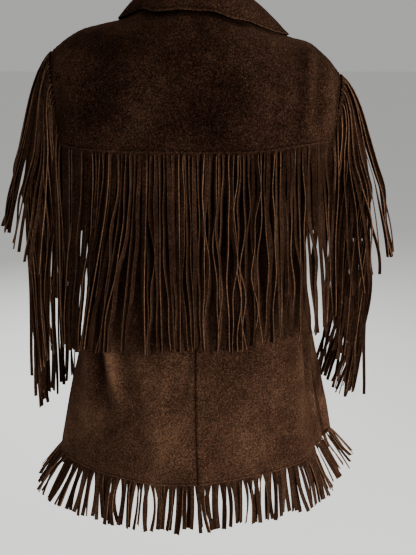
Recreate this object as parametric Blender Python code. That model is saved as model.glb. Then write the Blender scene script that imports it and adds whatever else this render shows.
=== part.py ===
"""A fringed suede jacket in its worn form: hollow, of separately cut pieces.

Frame: metres, +Z up. The origin is at the height of the neck points, on the middle
line, straight over the side seams. The back faces +Y, the front -Y, and +X is the
wearer's left. The right shoulder hangs lower than the left one, and both forearms
point forward. Every wall is cloth of one thickness on a surface that follows from
the tables below, and each fringe is a narrow strip with its strands cut from it.
"""
import math
from collections import namedtuple

import bmesh
import bpy
import numpy as np

# ------------------------------------------------------------------ cloth
CLOTH = 0.0016              # thickness of the suede
SEAM = 0.0004               # space between two pieces that meet edge to edge
LAP = 0.0007                # space between two layers that lie on each other
UP = np.array([0.0, 0.0, 1.0])
LEVEL = np.array([1.0, 1.0, 0.0])   # keeps the level part of a direction

# ------------------------------------------------------------------ body
Section = namedtuple("Section", "z side back front roundness shift turn")
TORSO = (                   # half width, depths behind and before the side seams, the curve's
                            # exponent, the middle's shift to the left and the hips' turn
    Section(-0.700, 0.219, 0.139, 0.138, 1.75, 0.009, 0.07),
    Section(-0.620, 0.203, 0.134, 0.132, 1.90, 0.010, 0.06),
    Section(-0.540, 0.188, 0.128, 0.127, 2.00, 0.008, 0.04),
    Section(-0.460, 0.178, 0.120, 0.123, 2.10, 0.005, 0.02),
    Section(-0.380, 0.173, 0.114, 0.121, 2.20, 0.002, 0.00),
    Section(-0.300, 0.175, 0.115, 0.126, 2.30, 0.000, 0.00),
    Section(-0.235, 0.190, 0.122, 0.131, 2.30, 0.000, 0.00),
    Section(-0.177, 0.215, 0.125, 0.128, 2.30, 0.000, 0.00),
    Section(-0.080, 0.225, 0.120, 0.108, 2.30, 0.000, 0.00),
    Section(0.045, 0.225, 0.110, 0.085, 2.30, 0.000, 0.00),
)
Shoulder = namedtuple("Shoulder", "x left right")
SHOULDERS = (               # height of the shoulder seam, out from the middle line
    Shoulder(0.000, 0.0450, 0.0450),
    Shoulder(0.020, 0.0440, 0.0440),
    Shoulder(0.050, 0.0310, 0.0280),
    Shoulder(0.075, 0.0150, 0.0080),
    Shoulder(0.092, 0.0055, -0.0055),
    Shoulder(0.110, -0.0020, -0.0180),
    Shoulder(0.140, -0.0090, -0.0280),
    Shoulder(0.170, -0.0170, -0.0370),
    Shoulder(0.190, -0.0280, -0.0530),
    Shoulder(0.214, -0.0460, -0.0800),
)
ROUNDNESS = 2.3             # exponent of the sections that the armholes cut
SHOULDER_TIP = 0.214        # from the middle line to the top of the armhole
EDGE_ANGLE = math.radians(64.3)     # where the armhole cuts the body's sections
YOKE_SEAM_Z = -0.177
UNDERARM_Z = -0.235
HEM_Z = -0.700
NECK_HALF = 0.075           # half the width of the neck opening
NECK_DROP_BACK = 0.018
NECK_DROP_FRONT = 0.105
NECK_SHARE = 0.244          # the neck point, as a share of the way to the armhole
FRONT_SHARE = 0.060         # the front edge, likewise
SHOULDER_ROUND_NECK = 0.120     # height over which the shoulder turns down, at the neck
SHOULDER_ROUND_TIP = 0.075      # and at the armhole
ROW_CROWDING = 1.6          # rows lie closer together towards the shoulder seam

Fold = namedtuple("Fold", "around_top around_foot z_top z_foot width depth")
FOLDS = (                   # around: 0 middle of the back, 1 left side seam, -1 right, 2 front
    Fold(0.62, 0.44, -0.480, -0.680, 0.055, -0.0050),
    Fold(0.26, 0.22, -0.420, -0.960, 0.110, 0.0045),
    Fold(-0.20, -0.24, -0.400, -0.980, 0.130, -0.0040),
    Fold(-0.62, -0.60, -0.400, -0.960, 0.100, 0.0055),
    Fold(-0.86, -0.84, -0.440, -0.940, 0.070, -0.0045),
    Fold(0.88, 0.86, -0.420, -0.960, 0.080, 0.0050),
    Fold(1.30, 1.26, -0.400, -0.960, 0.110, -0.0050),
    Fold(1.62, 1.66, -0.380, -0.940, 0.100, 0.0060),
    Fold(-1.32, -1.30, -0.420, -0.960, 0.110, 0.0050),
    Fold(-1.66, -1.70, -0.380, -0.940, 0.100, -0.0055),
    Fold(0.72, 0.78, -0.190, -0.400, 0.080, -0.0045),
    Fold(-0.74, -0.78, -0.190, -0.420, 0.080, -0.0045),
    Fold(1.15, 1.14, -0.300, -1.060, 0.130, 0.0110),
    Fold(-1.17, -1.16, -0.300, -1.060, 0.140, 0.0200),
)

# ------------------------------------------------------------------ sleeves
Arm = namedtuple("Arm", "along width depth")
ARM = (                     # half width across and half depth, along the arm from the armhole
    Arm(1.0, 0.0370, 0.0500),
    Arm(1.5, 0.0375, 0.0500),
    Arm(2.0, 0.0385, 0.0460),
    Arm(2.5, 0.0400, 0.0420),
    Arm(3.0, 0.0405, 0.0405),
)
UPPER_ARM_X = 0.2345        # middle of the sleeve above the elbow
ELBOW_PIVOT_Y = -0.046      # the inner side of the elbow, about which the sleeve bends
ELBOW_PIVOT_Z = -0.245
ELBOW_RADIUS = 0.054
ELBOW_BEND = math.radians(82.0)
FOREARM_LENGTH = 0.195
FOREARM_INWARD = 0.20       # how far the forearm turns in for each metre forward
CAP_FULLNESS = 0.020        # how far the sleeve's cap stands out
CONTROL_SHARE = 0.35
SLEEVE_TWIST = 30.0         # degrees by which the seams turn out, down to the elbow
FRONT_SEAM_ANGLE = -100.0   # where the sleeve's two seams leave the armhole
BACK_SEAM_ANGLE = 88.0
SLEEVE_ROWS = (0.0, 0.22, 0.46, 0.72, 1.0, 1.2, 1.4, 1.6, 1.8, 2.0, 2.35, 2.7, 3.0)
Crease = namedtuple("Crease", "along angle length spread depth")
CREASES = (                 # large creases of the sleeve; the angle is from its outer side
    Crease(1.00, -105.0, 0.16, 55.0, -0.0050),
    Crease(1.42, -100.0, 0.14, 60.0, -0.0060),
    Crease(1.20, -100.0, 0.12, 70.0, 0.0030),
    Crease(0.62, 60.0, 0.22, 60.0, -0.0040),
    Crease(2.20, 20.0, 0.20, 80.0, -0.0035),
)

# ------------------------------------------------------------------ collar
Profile = namedtuple("Profile", "out up")
STAND = (                   # from the neck seam up and over, in shares of the stand's height
    Profile(0.000, 0.00),
    Profile(-0.003, 0.50),
    Profile(-0.003, 0.88),
    Profile(0.003, 1.04),
    Profile(0.011, 0.95),
)
Edge = namedtuple("Edge", "place face share level stand")
COLLAR_EDGE_LEFT = (        # the fall's edge on the body, from the middle of the back forward
    Edge(0.00, 1, 0.000, 0.165, 0.030),
    Edge(0.25, 1, 0.200, 0.130, 0.034),
    Edge(0.50, 1, 0.390, 0.020, 0.038),
    Edge(0.75, -1, 0.400, 0.260, 0.032),
    Edge(1.00, -1, 0.330, 0.500, 0.020),
)
COLLAR_EDGE_RIGHT = (
    Edge(0.00, 1, 0.000, 0.165, 0.030),
    Edge(0.25, 1, 0.270, 0.190, 0.034),
    Edge(0.50, 1, 0.490, 0.030, 0.038),
    Edge(0.75, -1, 0.460, 0.260, 0.032),
    Edge(1.00, -1, 0.360, 0.500, 0.020),
)
COLLAR_PLACES = (0.0, 0.06, 0.13, 0.21, 0.30, 0.40, 0.50, 0.58, 0.66, 0.76, 0.88, 1.0)
NECK_POINT_PLACE = 0.5      # the place that lies on the shoulder seam
NECK_MIDDLE_Y = -0.012      # the stand's outward directions leave this line
FALL_ROWS = (0.34, 0.67, 1.0)
FALL_BULGE = 0.004
FALL_CLEARANCE = 0.0065     # least distance from the body's surface to the fall

# ------------------------------------------------------------------ fringe
STRIP = 0.0010              # thickness of a fringe's strip
STRAND = 0.0012             # thickness of a strand
STRAND_SHARE = 0.68         # of the pitch that a strand takes up
STRAND_TAPER = 0.25         # of the width that a strand loses at its tip
LONG_STRAND = 0.300
HEM_STRAND = 0.072
SAMPLES = 300               # points on a seam along which roots are spaced

YOKE_STRANDS = 50
YOKE_TUCK = 0.008           # how far the lower back reaches up under the yoke
YOKE_LAP = 0.004            # how far the yoke reaches down over the fringe
YOKE_LIFT_LEVELS = (0.52, 0.955)    # where the yoke starts to rise over the strip, and has
YOKE_EDGE_EASE = 0.7        # how far the yoke's edge draws in where the fringe lifts it
YOKE_STRIP_ROWS = (0.25, 1.02)      # the strip, between the lower back's first rows
YOKE_STRIP_INSET = 0.006    # from the armhole to the first root
YOKE_STRAND_RUNS = (0.06, 0.45, 1.0)    # where along a strand its rings lie
YOKE_STRAND_CLEARANCE = 0.004
YOKE_STRAND_BOW = 0.004
YOKE_LEAN = 0.012           # how far the outermost tips lean out

ARMHOLE_STRANDS = 14
ARMHOLE_FRINGE_SPAN = (-20.0, 110.0)    # angles on the armhole that bear the fringe
ARMHOLE_FRINGE_SWING = 0.24     # how far the outermost strands stand out as they fall
ARMHOLE_STRIP_ROWS = (0.20, 0.48)
ARMHOLE_STRAND_SHARE = 0.8      # of the root's width, where a strand has left the seam
Lift = namedtuple("Lift", "row height")
ARMHOLE_STRAND_LIFT = (         # the strands' way over the sleeve's rows
    Lift(0.8, 0.0055),
    Lift(1.7, 0.0095),
    Lift(2.8, 0.0130),
    Lift(3.9, 0.0150),
)

SLEEVE_STRANDS = 20
SLEEVE_STRIP_ROWS = (1.9, 10.9)     # where the sleeve's fringe starts and ends
SLEEVE_STRIP_COLUMNS = (-0.42, 0.06)    # from the back seam, the strip's top and foot
SLEEVE_STRIP_LIFT = 0.0015      # space under its strip, which bends around the elbow
SLEEVE_STRAND_KNEE = 0.010      # how far below its root a strand starts to hang straight
SLEEVE_STRAND_SWAY = 0.0025
ABOVE_ELBOW_WIDTH = 0.0036
FOREARM_WIDTH = 0.0070

HEM_STRANDS_BACK = 50
HEM_STRANDS_FRONT = 22
HEM_STRIP_TOP = 0.010       # how far the hem strip reaches up inside the hem
HEM_STRIP_FOOT = 0.0015     # and how far it shows below
HEM_FLARE_MIDDLE = 0.10     # outward lean of the strands for each metre down
HEM_FLARE_SIDES = 0.55      # and what is added to it at the side seams

DARK_SUEDE = (0.050, 0.021, 0.010, 1.0)
FRINGE_SUEDE = (0.062, 0.027, 0.014, 1.0)


# ------------------------------------------------------------------ small tools
def smooth(rows, key, value, at):
    """A table's column at any key, on a smooth curve through its rows."""
    rows = sorted(rows, key=lambda row: getattr(row, key))
    keys = np.array([getattr(row, key) for row in rows], dtype=float)
    values = np.array([getattr(row, value) for row in rows], dtype=float)
    slopes = np.gradient(values, keys)
    at = np.clip(at, keys[0], keys[-1])
    low = np.clip(np.searchsorted(keys, at, side="right") - 1, 0, len(keys) - 2)
    span = keys[low + 1] - keys[low]
    t = (at - keys[low]) / span
    rise = (3.0 - 2.0 * t) * t * t
    return (values[low] * (1.0 - rise) + values[low + 1] * rise
            + span * t * (1.0 - t) * (slopes[low] * (1.0 - t) - slopes[low + 1] * t))


def unit(vectors):
    """Vectors of length one, in the same directions."""
    return vectors / np.maximum(np.linalg.norm(vectors, axis=-1, keepdims=True), 1e-12)


def ease(t):
    """A soft step from 0 to 1."""
    t = np.clip(t, 0.0, 1.0)
    return (3.0 - 2.0 * t) * t * t


def mix(a, b, share):
    return a * (1.0 - share) + b * share


def at(grid, row, column):
    """The point of a grid at fractional places, on the flat faces between its points."""
    row = np.clip(row, 0.0, grid.shape[0] - 1.0)
    column = np.clip(column, 0.0, grid.shape[1] - 1.0)
    r = np.minimum(np.floor(row).astype(int), grid.shape[0] - 2)
    c = np.minimum(np.floor(column).astype(int), grid.shape[1] - 2)
    down = np.asarray(row - r)[..., None]
    along = np.asarray(column - c)[..., None]
    upper = mix(grid[r, c], grid[r, c + 1], along)
    lower = mix(grid[r + 1, c], grid[r + 1, c + 1], along)
    return mix(upper, lower, down)


def evenly(line, count_of_places, start=0.0, end=None):
    """Fractional places of points at even distances along a line of points."""
    steps = np.linalg.norm(np.diff(line, axis=0), axis=1)
    reach = np.concatenate([[0.0], np.cumsum(steps)])
    end = reach[-1] if end is None else end
    return np.interp(np.linspace(start, end, count_of_places), reach, np.arange(len(line)))


# ------------------------------------------------------------------ the body's surface
def shoulder_height(side, x):
    return np.where(side > 0, smooth(SHOULDERS, "x", "left", x), smooth(SHOULDERS, "x", "right", x))


def section(z, face):
    """Half width and depth of the body's section at a height."""
    depth = np.where(face > 0, smooth(TORSO, "z", "back", z), smooth(TORSO, "z", "front", z))
    return smooth(TORSO, "z", "side", z), depth


def edge_ratio(level):
    """Depth of the armhole's edge, as a share of the section's depth."""
    full = math.cos(EDGE_ANGLE) ** (2.0 / ROUNDNESS)
    below_seam = np.clip(level - 1.0, 0.0, 1.0)
    return full * np.sqrt(1.0 - below_seam ** 2)


def body(face, side, share, level):
    """Points of the body's surface, before its folds.

    face: 1 the back, -1 the front. side: 1 left, -1 right. share: 0 at the middle line,
    1 at the armhole and the side seam. level: 0 at the shoulder seam and the neckline,
    1 at the height of the yoke seam, 2 at the underarm, 3 at the hem.
    """
    side, share, level = np.broadcast_arrays(side, share, level)
    angle = share * np.arccos(edge_ratio(level) ** (ROUNDNESS / 2.0))
    tip_width = SHOULDER_TIP / math.sin(EDGE_ANGLE) ** (2.0 / ROUNDNESS)
    top_x = tip_width * np.sin(share * EDGE_ANGLE) ** (2.0 / ROUNDNESS)
    top_z = shoulder_height(side, top_x)
    fall = top_z - YOKE_SEAM_Z
    drop = NECK_DROP_BACK if face > 0 else NECK_DROP_FRONT
    neck = drop * np.clip(1.0 - (top_x / NECK_HALF) ** 2, 0.0, 1.0)
    start = (neck / fall) ** (1.0 / ROW_CROWDING)
    down = (start + (1.0 - start) * np.clip(level, 0.0, 1.0)) ** ROW_CROWDING
    z_above = top_z - fall * down
    z_middle = YOKE_SEAM_Z + (UNDERARM_Z - YOKE_SEAM_Z) * (level - 1.0)
    z_below = UNDERARM_Z + (HEM_Z - UNDERARM_Z) * (level - 2.0)
    z = np.where(level <= 1.0, z_above, np.where(level <= 2.0, z_middle, z_below))
    width, depth = section(z, face)
    seam_width, _ = section(YOKE_SEAM_Z, face)
    width = np.where(level <= 1.0, mix(tip_width, seam_width, np.clip(down, 0.0, 1.0)), width)
    rounding = mix(SHOULDER_ROUND_NECK, SHOULDER_ROUND_TIP, share)
    over = np.clip((top_z - z) / rounding, 0.0, 1.0)
    turned = np.where(level <= 1.0, np.sqrt(1.0 - (1.0 - over) ** 2), 1.0)
    power = 2.0 / smooth(TORSO, "z", "roundness", z)
    x = side * width * np.sin(angle) ** power
    y = face * depth * np.clip(np.cos(angle), 0.0, 1.0) ** power * turned
    turn = smooth(TORSO, "z", "turn", z)
    return np.stack([x - turn * y + smooth(TORSO, "z", "shift", z), y + turn * x, z], axis=-1)


def body_normals(face, side, share, level):
    """Directions out of the body's surface."""
    step = 1e-3
    inward = np.clip(share - step, 0.0, 1.0)
    outward = np.clip(share + step, 0.0, 1.0)
    above = np.clip(level - step, 0.0, 3.0)
    below = np.clip(level + step, 0.0, 3.0)
    across = body(face, side, outward, level) - body(face, side, inward, level)
    down = body(face, side, share, below) - body(face, side, share, above)
    normals = unit(np.cross(across, down)) * face * np.asarray(side)[..., None]
    middle = np.asarray(share)[..., None] < step
    return np.where(middle, unit(normals * np.array([0.0, 1.0, 1.0])), normals)


def fold_depth(face, side, share, z):
    """How far the folds move the surface out."""
    around = side * np.where(face > 0, share, 2.0 - share)
    moved = np.zeros(np.broadcast(around, z).shape)
    for fold in FOLDS:
        run = np.clip((fold.z_top - z) / (fold.z_top - fold.z_foot), 0.0, 1.0)
        middle = mix(fold.around_top, fold.around_foot, run)
        across = (around - middle) / fold.width
        moved = moved + fold.depth * np.sin(math.pi * run) ** 2 * np.exp(-across ** 2)
    return moved


def body_grid(face, sides, shares, levels):
    """Points and outward directions for columns of shares and rows of levels."""
    side = np.broadcast_to(sides, (len(levels), len(shares)))
    share = np.broadcast_to(shares, side.shape)
    level = np.broadcast_to(np.asarray(levels)[:, None], side.shape)
    points = body(face, side, share, level)
    normals = body_normals(face, side, share, level)
    points = points + normals * fold_depth(face, side, share, points[..., 2])[..., None]
    return points, normals


# ------------------------------------------------------------------ making solids
def suede(name, colour):
    material = bpy.data.materials.new(name)
    material.use_nodes = True
    shader = material.node_tree.nodes["Principled BSDF"]
    shader.inputs["Base Color"].default_value = colour
    shader.inputs["Roughness"].default_value = 0.95
    shader.inputs["Metallic"].default_value = 0.0
    return material


def solid(name, points, faces, colour):
    """A named object from points and faces, all facing out."""
    mesh = bpy.data.meshes.new(name)
    mesh.from_pydata([tuple(point) for point in points], [], faces)
    work = bmesh.new()
    work.from_mesh(mesh)
    bmesh.ops.recalc_face_normals(work, faces=work.faces)
    work.to_mesh(mesh)
    work.free()
    mesh.materials.append(suede(name, colour))
    piece = bpy.data.objects.new(name, mesh)
    bpy.context.scene.collection.objects.link(piece)
    return piece


def trimmed(grid, left=0.0, right=0.0, top=0.0, foot=0.0):
    """The same grid with its edges drawn in by short lengths."""
    grid = grid.copy()
    pulls = ((grid[:, 0], grid[:, 1], left), (grid[:, -1], grid[:, -2], right),
             (grid[0], grid[1], top), (grid[-1], grid[-2], foot))
    for edge, inner, length in pulls:
        edge += unit(inner - edge) * length
    return grid


def wall(name, inner, outer, colour=DARK_SUEDE):
    """One closed piece of cloth between an inner and an outer grid of points."""
    rows, columns = inner.shape[:2]
    points = np.concatenate([inner.reshape(-1, 3), outer.reshape(-1, 3)])
    shift = rows * columns
    faces = []
    for r in range(rows - 1):
        for c in range(columns - 1):
            a = r * columns + c
            b, d, e = a + 1, a + columns, a + columns + 1
            faces += [(a, b, e), (a, e, d)]
            faces += [(a + shift, e + shift, b + shift), (a + shift, d + shift, e + shift)]
    rim = [(0, c) for c in range(columns)]
    rim += [(r, columns - 1) for r in range(1, rows)]
    rim += [(rows - 1, c) for c in range(columns - 2, -1, -1)]
    rim += [(r, 0) for r in range(rows - 2, 0, -1)]
    rim = [r * columns + c for r, c in rim]
    for a, b in zip(rim, rim[1:] + rim[:1]):
        faces += [(a, a + shift, b + shift), (a, b + shift, b)]
    return solid(name, points, faces, colour)


def comb(name, strip, strands):
    """A fringe: a narrow strip whose lower edge bears strands, as one closed solid.

    strip has four corners at each place along it: top inner, top outer, foot outer,
    foot inner. Strands grow from every second cell, each a list of rings of four corners.
    """
    points = [tuple(point) for point in strip.reshape(-1, 3)]
    faces = []
    for place in range(len(strip) - 1):
        top_in, top_out, foot_out, foot_in = (4 * place + k for k in range(4))
        faces += [(top_in, top_out, top_out + 4, top_in + 4),
                  (top_out, foot_out, foot_out + 4, top_out + 4),
                  (foot_in, top_in, top_in + 4, foot_in + 4)]
        if place % 2:
            faces.append((foot_out, foot_in, foot_in + 4, foot_out + 4))
            continue
        ring = [foot_out, foot_out + 4, foot_in + 4, foot_in]
        for corners in strands[place // 2]:
            following = list(range(len(points), len(points) + 4))
            points += [tuple(corner) for corner in corners]
            for k in range(4):
                j = (k + 1) % 4
                faces.append((ring[k], ring[j], following[j], following[k]))
            ring = following
        faces.append(tuple(ring))
    last = 4 * (len(strip) - 1)
    faces += [(0, 1, 2, 3), (last + 3, last + 2, last + 1, last)]
    return solid(name, points, faces, FRINGE_SUEDE)


def strip_places(line, strands, start=0.0, end=None):
    """Fractional places of the two sides of each strand's root, evenly along a line."""
    pitches = evenly(line, strands + 1, start, end)
    roots = []
    for first, second in zip(pitches[:-1], pitches[1:]):
        roots += [first, mix(first, second, STRAND_SHARE)]
    return np.array(roots)


def strand_rings(path, across, outward, width):
    """Rings of four corners along a strand's path, its width turned across."""
    rings = []
    for place, centre in enumerate(path):
        narrowing = 1.0 - STRAND_TAPER * (place + 1 == len(path))
        side = unit(across) * width * narrowing / 2.0
        thick = unit(outward) * STRAND / 2.0
        rings.append([centre + thick - side, centre + thick + side,
                      centre - thick + side, centre - thick - side])
    return rings


# ------------------------------------------------------------------ pieces of the body
NECK_SHARES = tuple(NECK_SHARE * k for k in (0.0, 0.34, 0.62, 0.84, 1.0))
SHOULDER_SHARES = tuple(np.linspace(NECK_SHARE, 1.0, 9)[1:])
BACK_SHARES = np.array(NECK_SHARES + SHOULDER_SHARES)
FRONT_SHARES = np.maximum(BACK_SHARES, FRONT_SHARE)
YOKE_LEVELS = np.array([0.0, 0.17, 0.34, 0.52, 0.70, 0.86, 0.955, 1.0])
UNDER_LEVELS = np.array([1.0, 1.35, 1.70, 1.90, 2.0])
SKIRT_LEVELS = np.linspace(2.0, 3.0, 12)[1:]
FRONT_LEVELS = np.concatenate([YOKE_LEVELS, UNDER_LEVELS[1:], SKIRT_LEVELS])
BACK_LEVELS = np.concatenate([UNDER_LEVELS, SKIRT_LEVELS])
SIDES = {"left": 1, "right": -1}


def level_at(z_above_seam):
    """The level a short way above the yoke seam, at the middle of the back."""
    fall = SHOULDERS[0].left - YOKE_SEAM_Z
    start = (NECK_DROP_BACK / fall) ** (1.0 / ROW_CROWDING)
    down = (1.0 - z_above_seam / fall) ** (1.0 / ROW_CROWDING)
    return (down - start) / (1.0 - start)


def back_columns():
    """Columns of the whole back from the left armhole to the right one."""
    shares = np.concatenate([BACK_SHARES[::-1], BACK_SHARES[1:]])
    sides = np.concatenate([np.ones(len(BACK_SHARES)), -np.ones(len(BACK_SHARES) - 1)])
    return sides, shares


def make_yoke():
    sides, shares = back_columns()
    points, normals = body_grid(1, sides, shares, YOKE_LEVELS)
    points[-1] -= UP * YOKE_LAP
    start, end = YOKE_LIFT_LEVELS
    lift = ease((YOKE_LEVELS - start) / (end - start)) * (CLOTH + LAP + STRIP + LAP)
    clear = (SEAM + YOKE_EDGE_EASE * lift)[:, None]
    inner = points + normals * lift[:, None, None]
    inner = trimmed(inner, left=clear, right=clear, top=SEAM / 2)
    wall("back_yoke", inner, inner + normals * CLOTH)


def make_backs():
    """Both lower back panels, tucked under the yoke, joined at the middle."""
    levels = np.concatenate([[level_at(YOKE_TUCK)], BACK_LEVELS])
    for name, side in SIDES.items():
        points, normals = body_grid(1, side, BACK_SHARES, levels)
        inner = trimmed(points, left=SEAM / 2, right=SEAM / 2)
        wall("back_" + name, inner, inner + normals * CLOTH)


def make_fronts():
    for name, side in SIDES.items():
        points, normals = body_grid(-1, side, FRONT_SHARES, FRONT_LEVELS)
        inner = trimmed(points, right=SEAM / 2, top=SEAM / 2)
        wall("front_" + name, inner, inner + normals * CLOTH)


# ------------------------------------------------------------------ collar
def collar_columns(side, table):
    """Collar points for one side, from the middle of the back to the front edge."""
    columns = []
    for place in COLLAR_PLACES:
        stand = float(smooth(table, "place", "stand", place))
        share = float(smooth(table, "place", "share", place))
        level = float(smooth(table, "place", "level", place))
        face = 1 if place <= NECK_POINT_PLACE else -1
        if face > 0:
            neck_share = NECK_SHARE * place / NECK_POINT_PLACE
        else:
            past = (place - NECK_POINT_PLACE) / (1.0 - NECK_POINT_PLACE)
            neck_share = mix(NECK_SHARE, FRONT_SHARE, past)
        foot = body(face, side, neck_share, 0.0)
        lift = body_normals(face, side, neck_share, 0.0)
        out = unit(np.array([foot[0], foot[1] - NECK_MIDDLE_Y, 0.0]))
        base = foot + lift * (CLOTH + SEAM + CLOTH / 2)
        column = [base + out * row.out + UP * row.up * stand for row in STAND]
        roll = column[-1]
        rim = body(face, side, share, level) + body_normals(face, side, share, level) * FALL_CLEARANCE
        for run in FALL_ROWS:
            point = mix(roll, rim, run) + unit(out + UP) * FALL_BULGE * math.sin(math.pi * run)
            under = (face, side, mix(neck_share, share, run), level * run)
            facing = body_normals(*under)
            height = float(np.dot(point - body(*under), facing))
            column.append(point + facing * max(FALL_CLEARANCE - height, 0.0))
        columns.append(column)
    return columns


def make_collar():
    left = collar_columns(1, COLLAR_EDGE_LEFT)
    right = collar_columns(-1, COLLAR_EDGE_RIGHT)
    grid = np.array(left[::-1] + right[1:]).transpose(1, 0, 2)
    down = np.gradient(grid, axis=0)
    across = np.gradient(grid, axis=1)
    normals = unit(np.cross(across, down))
    wall("collar", grid - normals * CLOTH / 2, grid + normals * CLOTH / 2)


# ------------------------------------------------------------------ sleeves
def armhole(side):
    """The armhole's edge on the body, once around, and its angle from the top."""
    back_levels = np.concatenate([YOKE_LEVELS, UNDER_LEVELS[1:]])
    back, _ = body_grid(1, side, np.array([1.0]), back_levels)
    front, _ = body_grid(-1, side, np.array([1.0]), back_levels)
    edges = []
    for edge, sign in ((back[:, 0], 1.0), (front[:, 0], -1.0)):
        steps = np.linalg.norm(np.diff(edge, axis=0), axis=1)
        reach = np.concatenate([[0.0], np.cumsum(steps)])
        edges.append((edge, sign * 180.0 * reach / reach[-1]))
    loop = np.concatenate([edges[1][0][::-1][:-1], edges[0][0]])
    angles = np.concatenate([edges[1][1][::-1][:-1], edges[0][1]])
    return loop, angles


def arm_frame(side, along):
    """Middle of the sleeve and the direction of its back, at the elbow and below."""
    bend = ELBOW_BEND * np.clip(along - 1.0, 0.0, 1.0)
    behind = np.stack([0.0 * bend, np.cos(bend), -np.sin(bend)], axis=-1)
    pivot = np.array([side * UPPER_ARM_X, ELBOW_PIVOT_Y, ELBOW_PIVOT_Z])
    forward = np.array([-side * FOREARM_INWARD, -math.sin(ELBOW_BEND), -math.cos(ELBOW_BEND)])
    reach = FOREARM_LENGTH * np.clip(along - 2.0, 0.0, 1.0)
    return pivot + behind * ELBOW_RADIUS + reach[..., None] * forward, behind


def sleeve(side, loop, angles, rows):
    """Points of the sleeve's surface: a row for each place along it, a column for each angle."""
    outside = np.array([float(side), 0.0, 0.0])
    grid = []
    for along in rows:
        turned = np.radians(angles - SLEEVE_TWIST * ease(along))
        middle, behind = arm_frame(side, np.array(max(along, 1.0)))
        width = smooth(ARM, "along", "width", max(along, 1.0))
        depth = smooth(ARM, "along", "depth", max(along, 1.0))
        ring = (middle + np.cos(turned)[:, None] * outside * width
                + np.sin(turned)[:, None] * behind * depth)
        if along < 1.0:
            lower = (1.0 - np.cos(np.radians(angles))) / 2.0
            start = loop + outside * (SEAM + 2.0 * CLOTH * lower ** 2)[:, None]
            fullness = (CAP_FULLNESS * (1.0 - lower))[:, None] * outside
            control = mix(start, ring, CONTROL_SHARE) + fullness
            ring = (start * (1.0 - along) ** 2 + control * 2.0 * along * (1.0 - along)
                    + ring * along ** 2)
        grid.append(ring)
    return np.array(grid)


def sleeve_grid(side):
    """The sleeve's creased surface and the directions out of it."""
    loop, angles = armhole(side)
    rows = np.array(SLEEVE_ROWS)
    grid = sleeve(side, loop, angles, rows)
    step = 1e-3
    down = sleeve(side, loop, angles, rows + step) - sleeve(side, loop, angles, rows - step * (rows > 0))
    across = np.empty_like(grid)
    across[:, 1:-1] = grid[:, 2:] - grid[:, :-2]
    across[:, 0] = across[:, -1] = grid[:, 1] - grid[:, -2]
    normals = -unit(np.cross(across, down)) * side
    moved = np.zeros(grid.shape[:2])
    for crease in CREASES:
        along = (rows[:, None] - crease.along) / crease.length
        around = (angles[None, :] - crease.angle + 180.0) % 360.0 - 180.0
        moved += crease.depth * np.exp(-along ** 2 - (around / crease.spread) ** 2)
    return grid + normals * moved[..., None], normals, angles


def seam_columns(angles):
    """The columns that the sleeve's front and back seams follow."""
    front = int(np.argmin(np.abs(angles - FRONT_SEAM_ANGLE)))
    back = int(np.argmin(np.abs(angles - BACK_SEAM_ANGLE)))
    return front, back


def make_sleeves():
    for name, side in SIDES.items():
        grid, normals, angles = sleeve_grid(side)
        front, back = seam_columns(angles)
        last = len(angles) - 1
        upper = list(range(front, back + 1))
        under = list(range(back, last)) + list(range(0, front + 1))
        for piece, columns in (("sleeve_top_", upper), ("sleeve_under_", under)):
            inner = trimmed(grid[:, columns], left=SEAM / 2, right=SEAM / 2)
            wall(piece + name, inner, inner + normals[:, columns] * CLOTH)


# ------------------------------------------------------------------ fringes
def strip_corners(grid, normals, rows, places, outward):
    """Corners of a strip along a grid, from its top row to its foot row, at two heights."""
    (top, foot), (low, high) = rows, outward
    corners = []
    for row, height in ((top, low), (top, high), (foot, high), (foot, low)):
        row = np.broadcast_to(row, places.shape)
        corners.append(at(grid + normals * height, row, places))
    return np.stack(corners, axis=1)


def roots(strip):
    """Middle, direction across and width of each strand's root."""
    for place in range(0, len(strip) - 1, 2):
        first, second = strip[place], strip[place + 1]
        middle = (first[2] + first[3] + second[2] + second[3]) / 4.0
        across = second[2] - first[2]
        yield middle, unit(across), np.linalg.norm(across)


def wave(place, slow, quick):
    """A gentle unevenness from strand to strand, between -1 and 1."""
    return 0.6 * math.sin(slow * place + 0.7) + 0.4 * math.sin(quick * place + 2.1)


def back_depth(x, z):
    """How far behind the side seams the body's surface lies, at a place and height."""
    width, depth = section(z, 1)
    power = float(smooth(TORSO, "z", "roundness", z))
    across = min(abs(x - float(smooth(TORSO, "z", "shift", z))) / float(width), 1.0)
    turned = float(smooth(TORSO, "z", "turn", z)) * x
    return float(depth) * (1.0 - across ** power) ** (1.0 / power) + turned


def make_yoke_fringe():
    """Strands that hang from the yoke seam, close to the back."""
    sides, shares = back_columns()
    levels = np.concatenate([[level_at(YOKE_TUCK)], BACK_LEVELS])
    points, normals = body_grid(1, sides, shares, levels)
    places = strip_places(points[1], YOKE_STRANDS, YOKE_STRIP_INSET)
    low = CLOTH + LAP
    strip = strip_corners(points, normals, YOKE_STRIP_ROWS, places, (low, low + STRIP))
    strands = []
    for number, (root, across, width) in enumerate(roots(strip)):
        length = LONG_STRAND + 0.008 * wave(number, 0.31, 1.37)
        lean = 0.010 * wave(number, 0.16, 0.45) + YOKE_LEAN * root[0] / SHOULDER_TIP
        path = []
        for run in YOKE_STRAND_RUNS:
            x = root[0] + lean * run ** 1.5
            z = root[2] - length * run
            clear = back_depth(x, z) + CLOTH + YOKE_STRAND_CLEARANCE
            y = max(root[1] + YOKE_STRAND_BOW * math.sin(math.pi * run), clear)
            path.append(np.array([x, y, z]))
        strands.append(strand_rings(path, across * LEVEL, np.cross(across, UP), width))
    comb("yoke_fringe", strip, strands)


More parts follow.
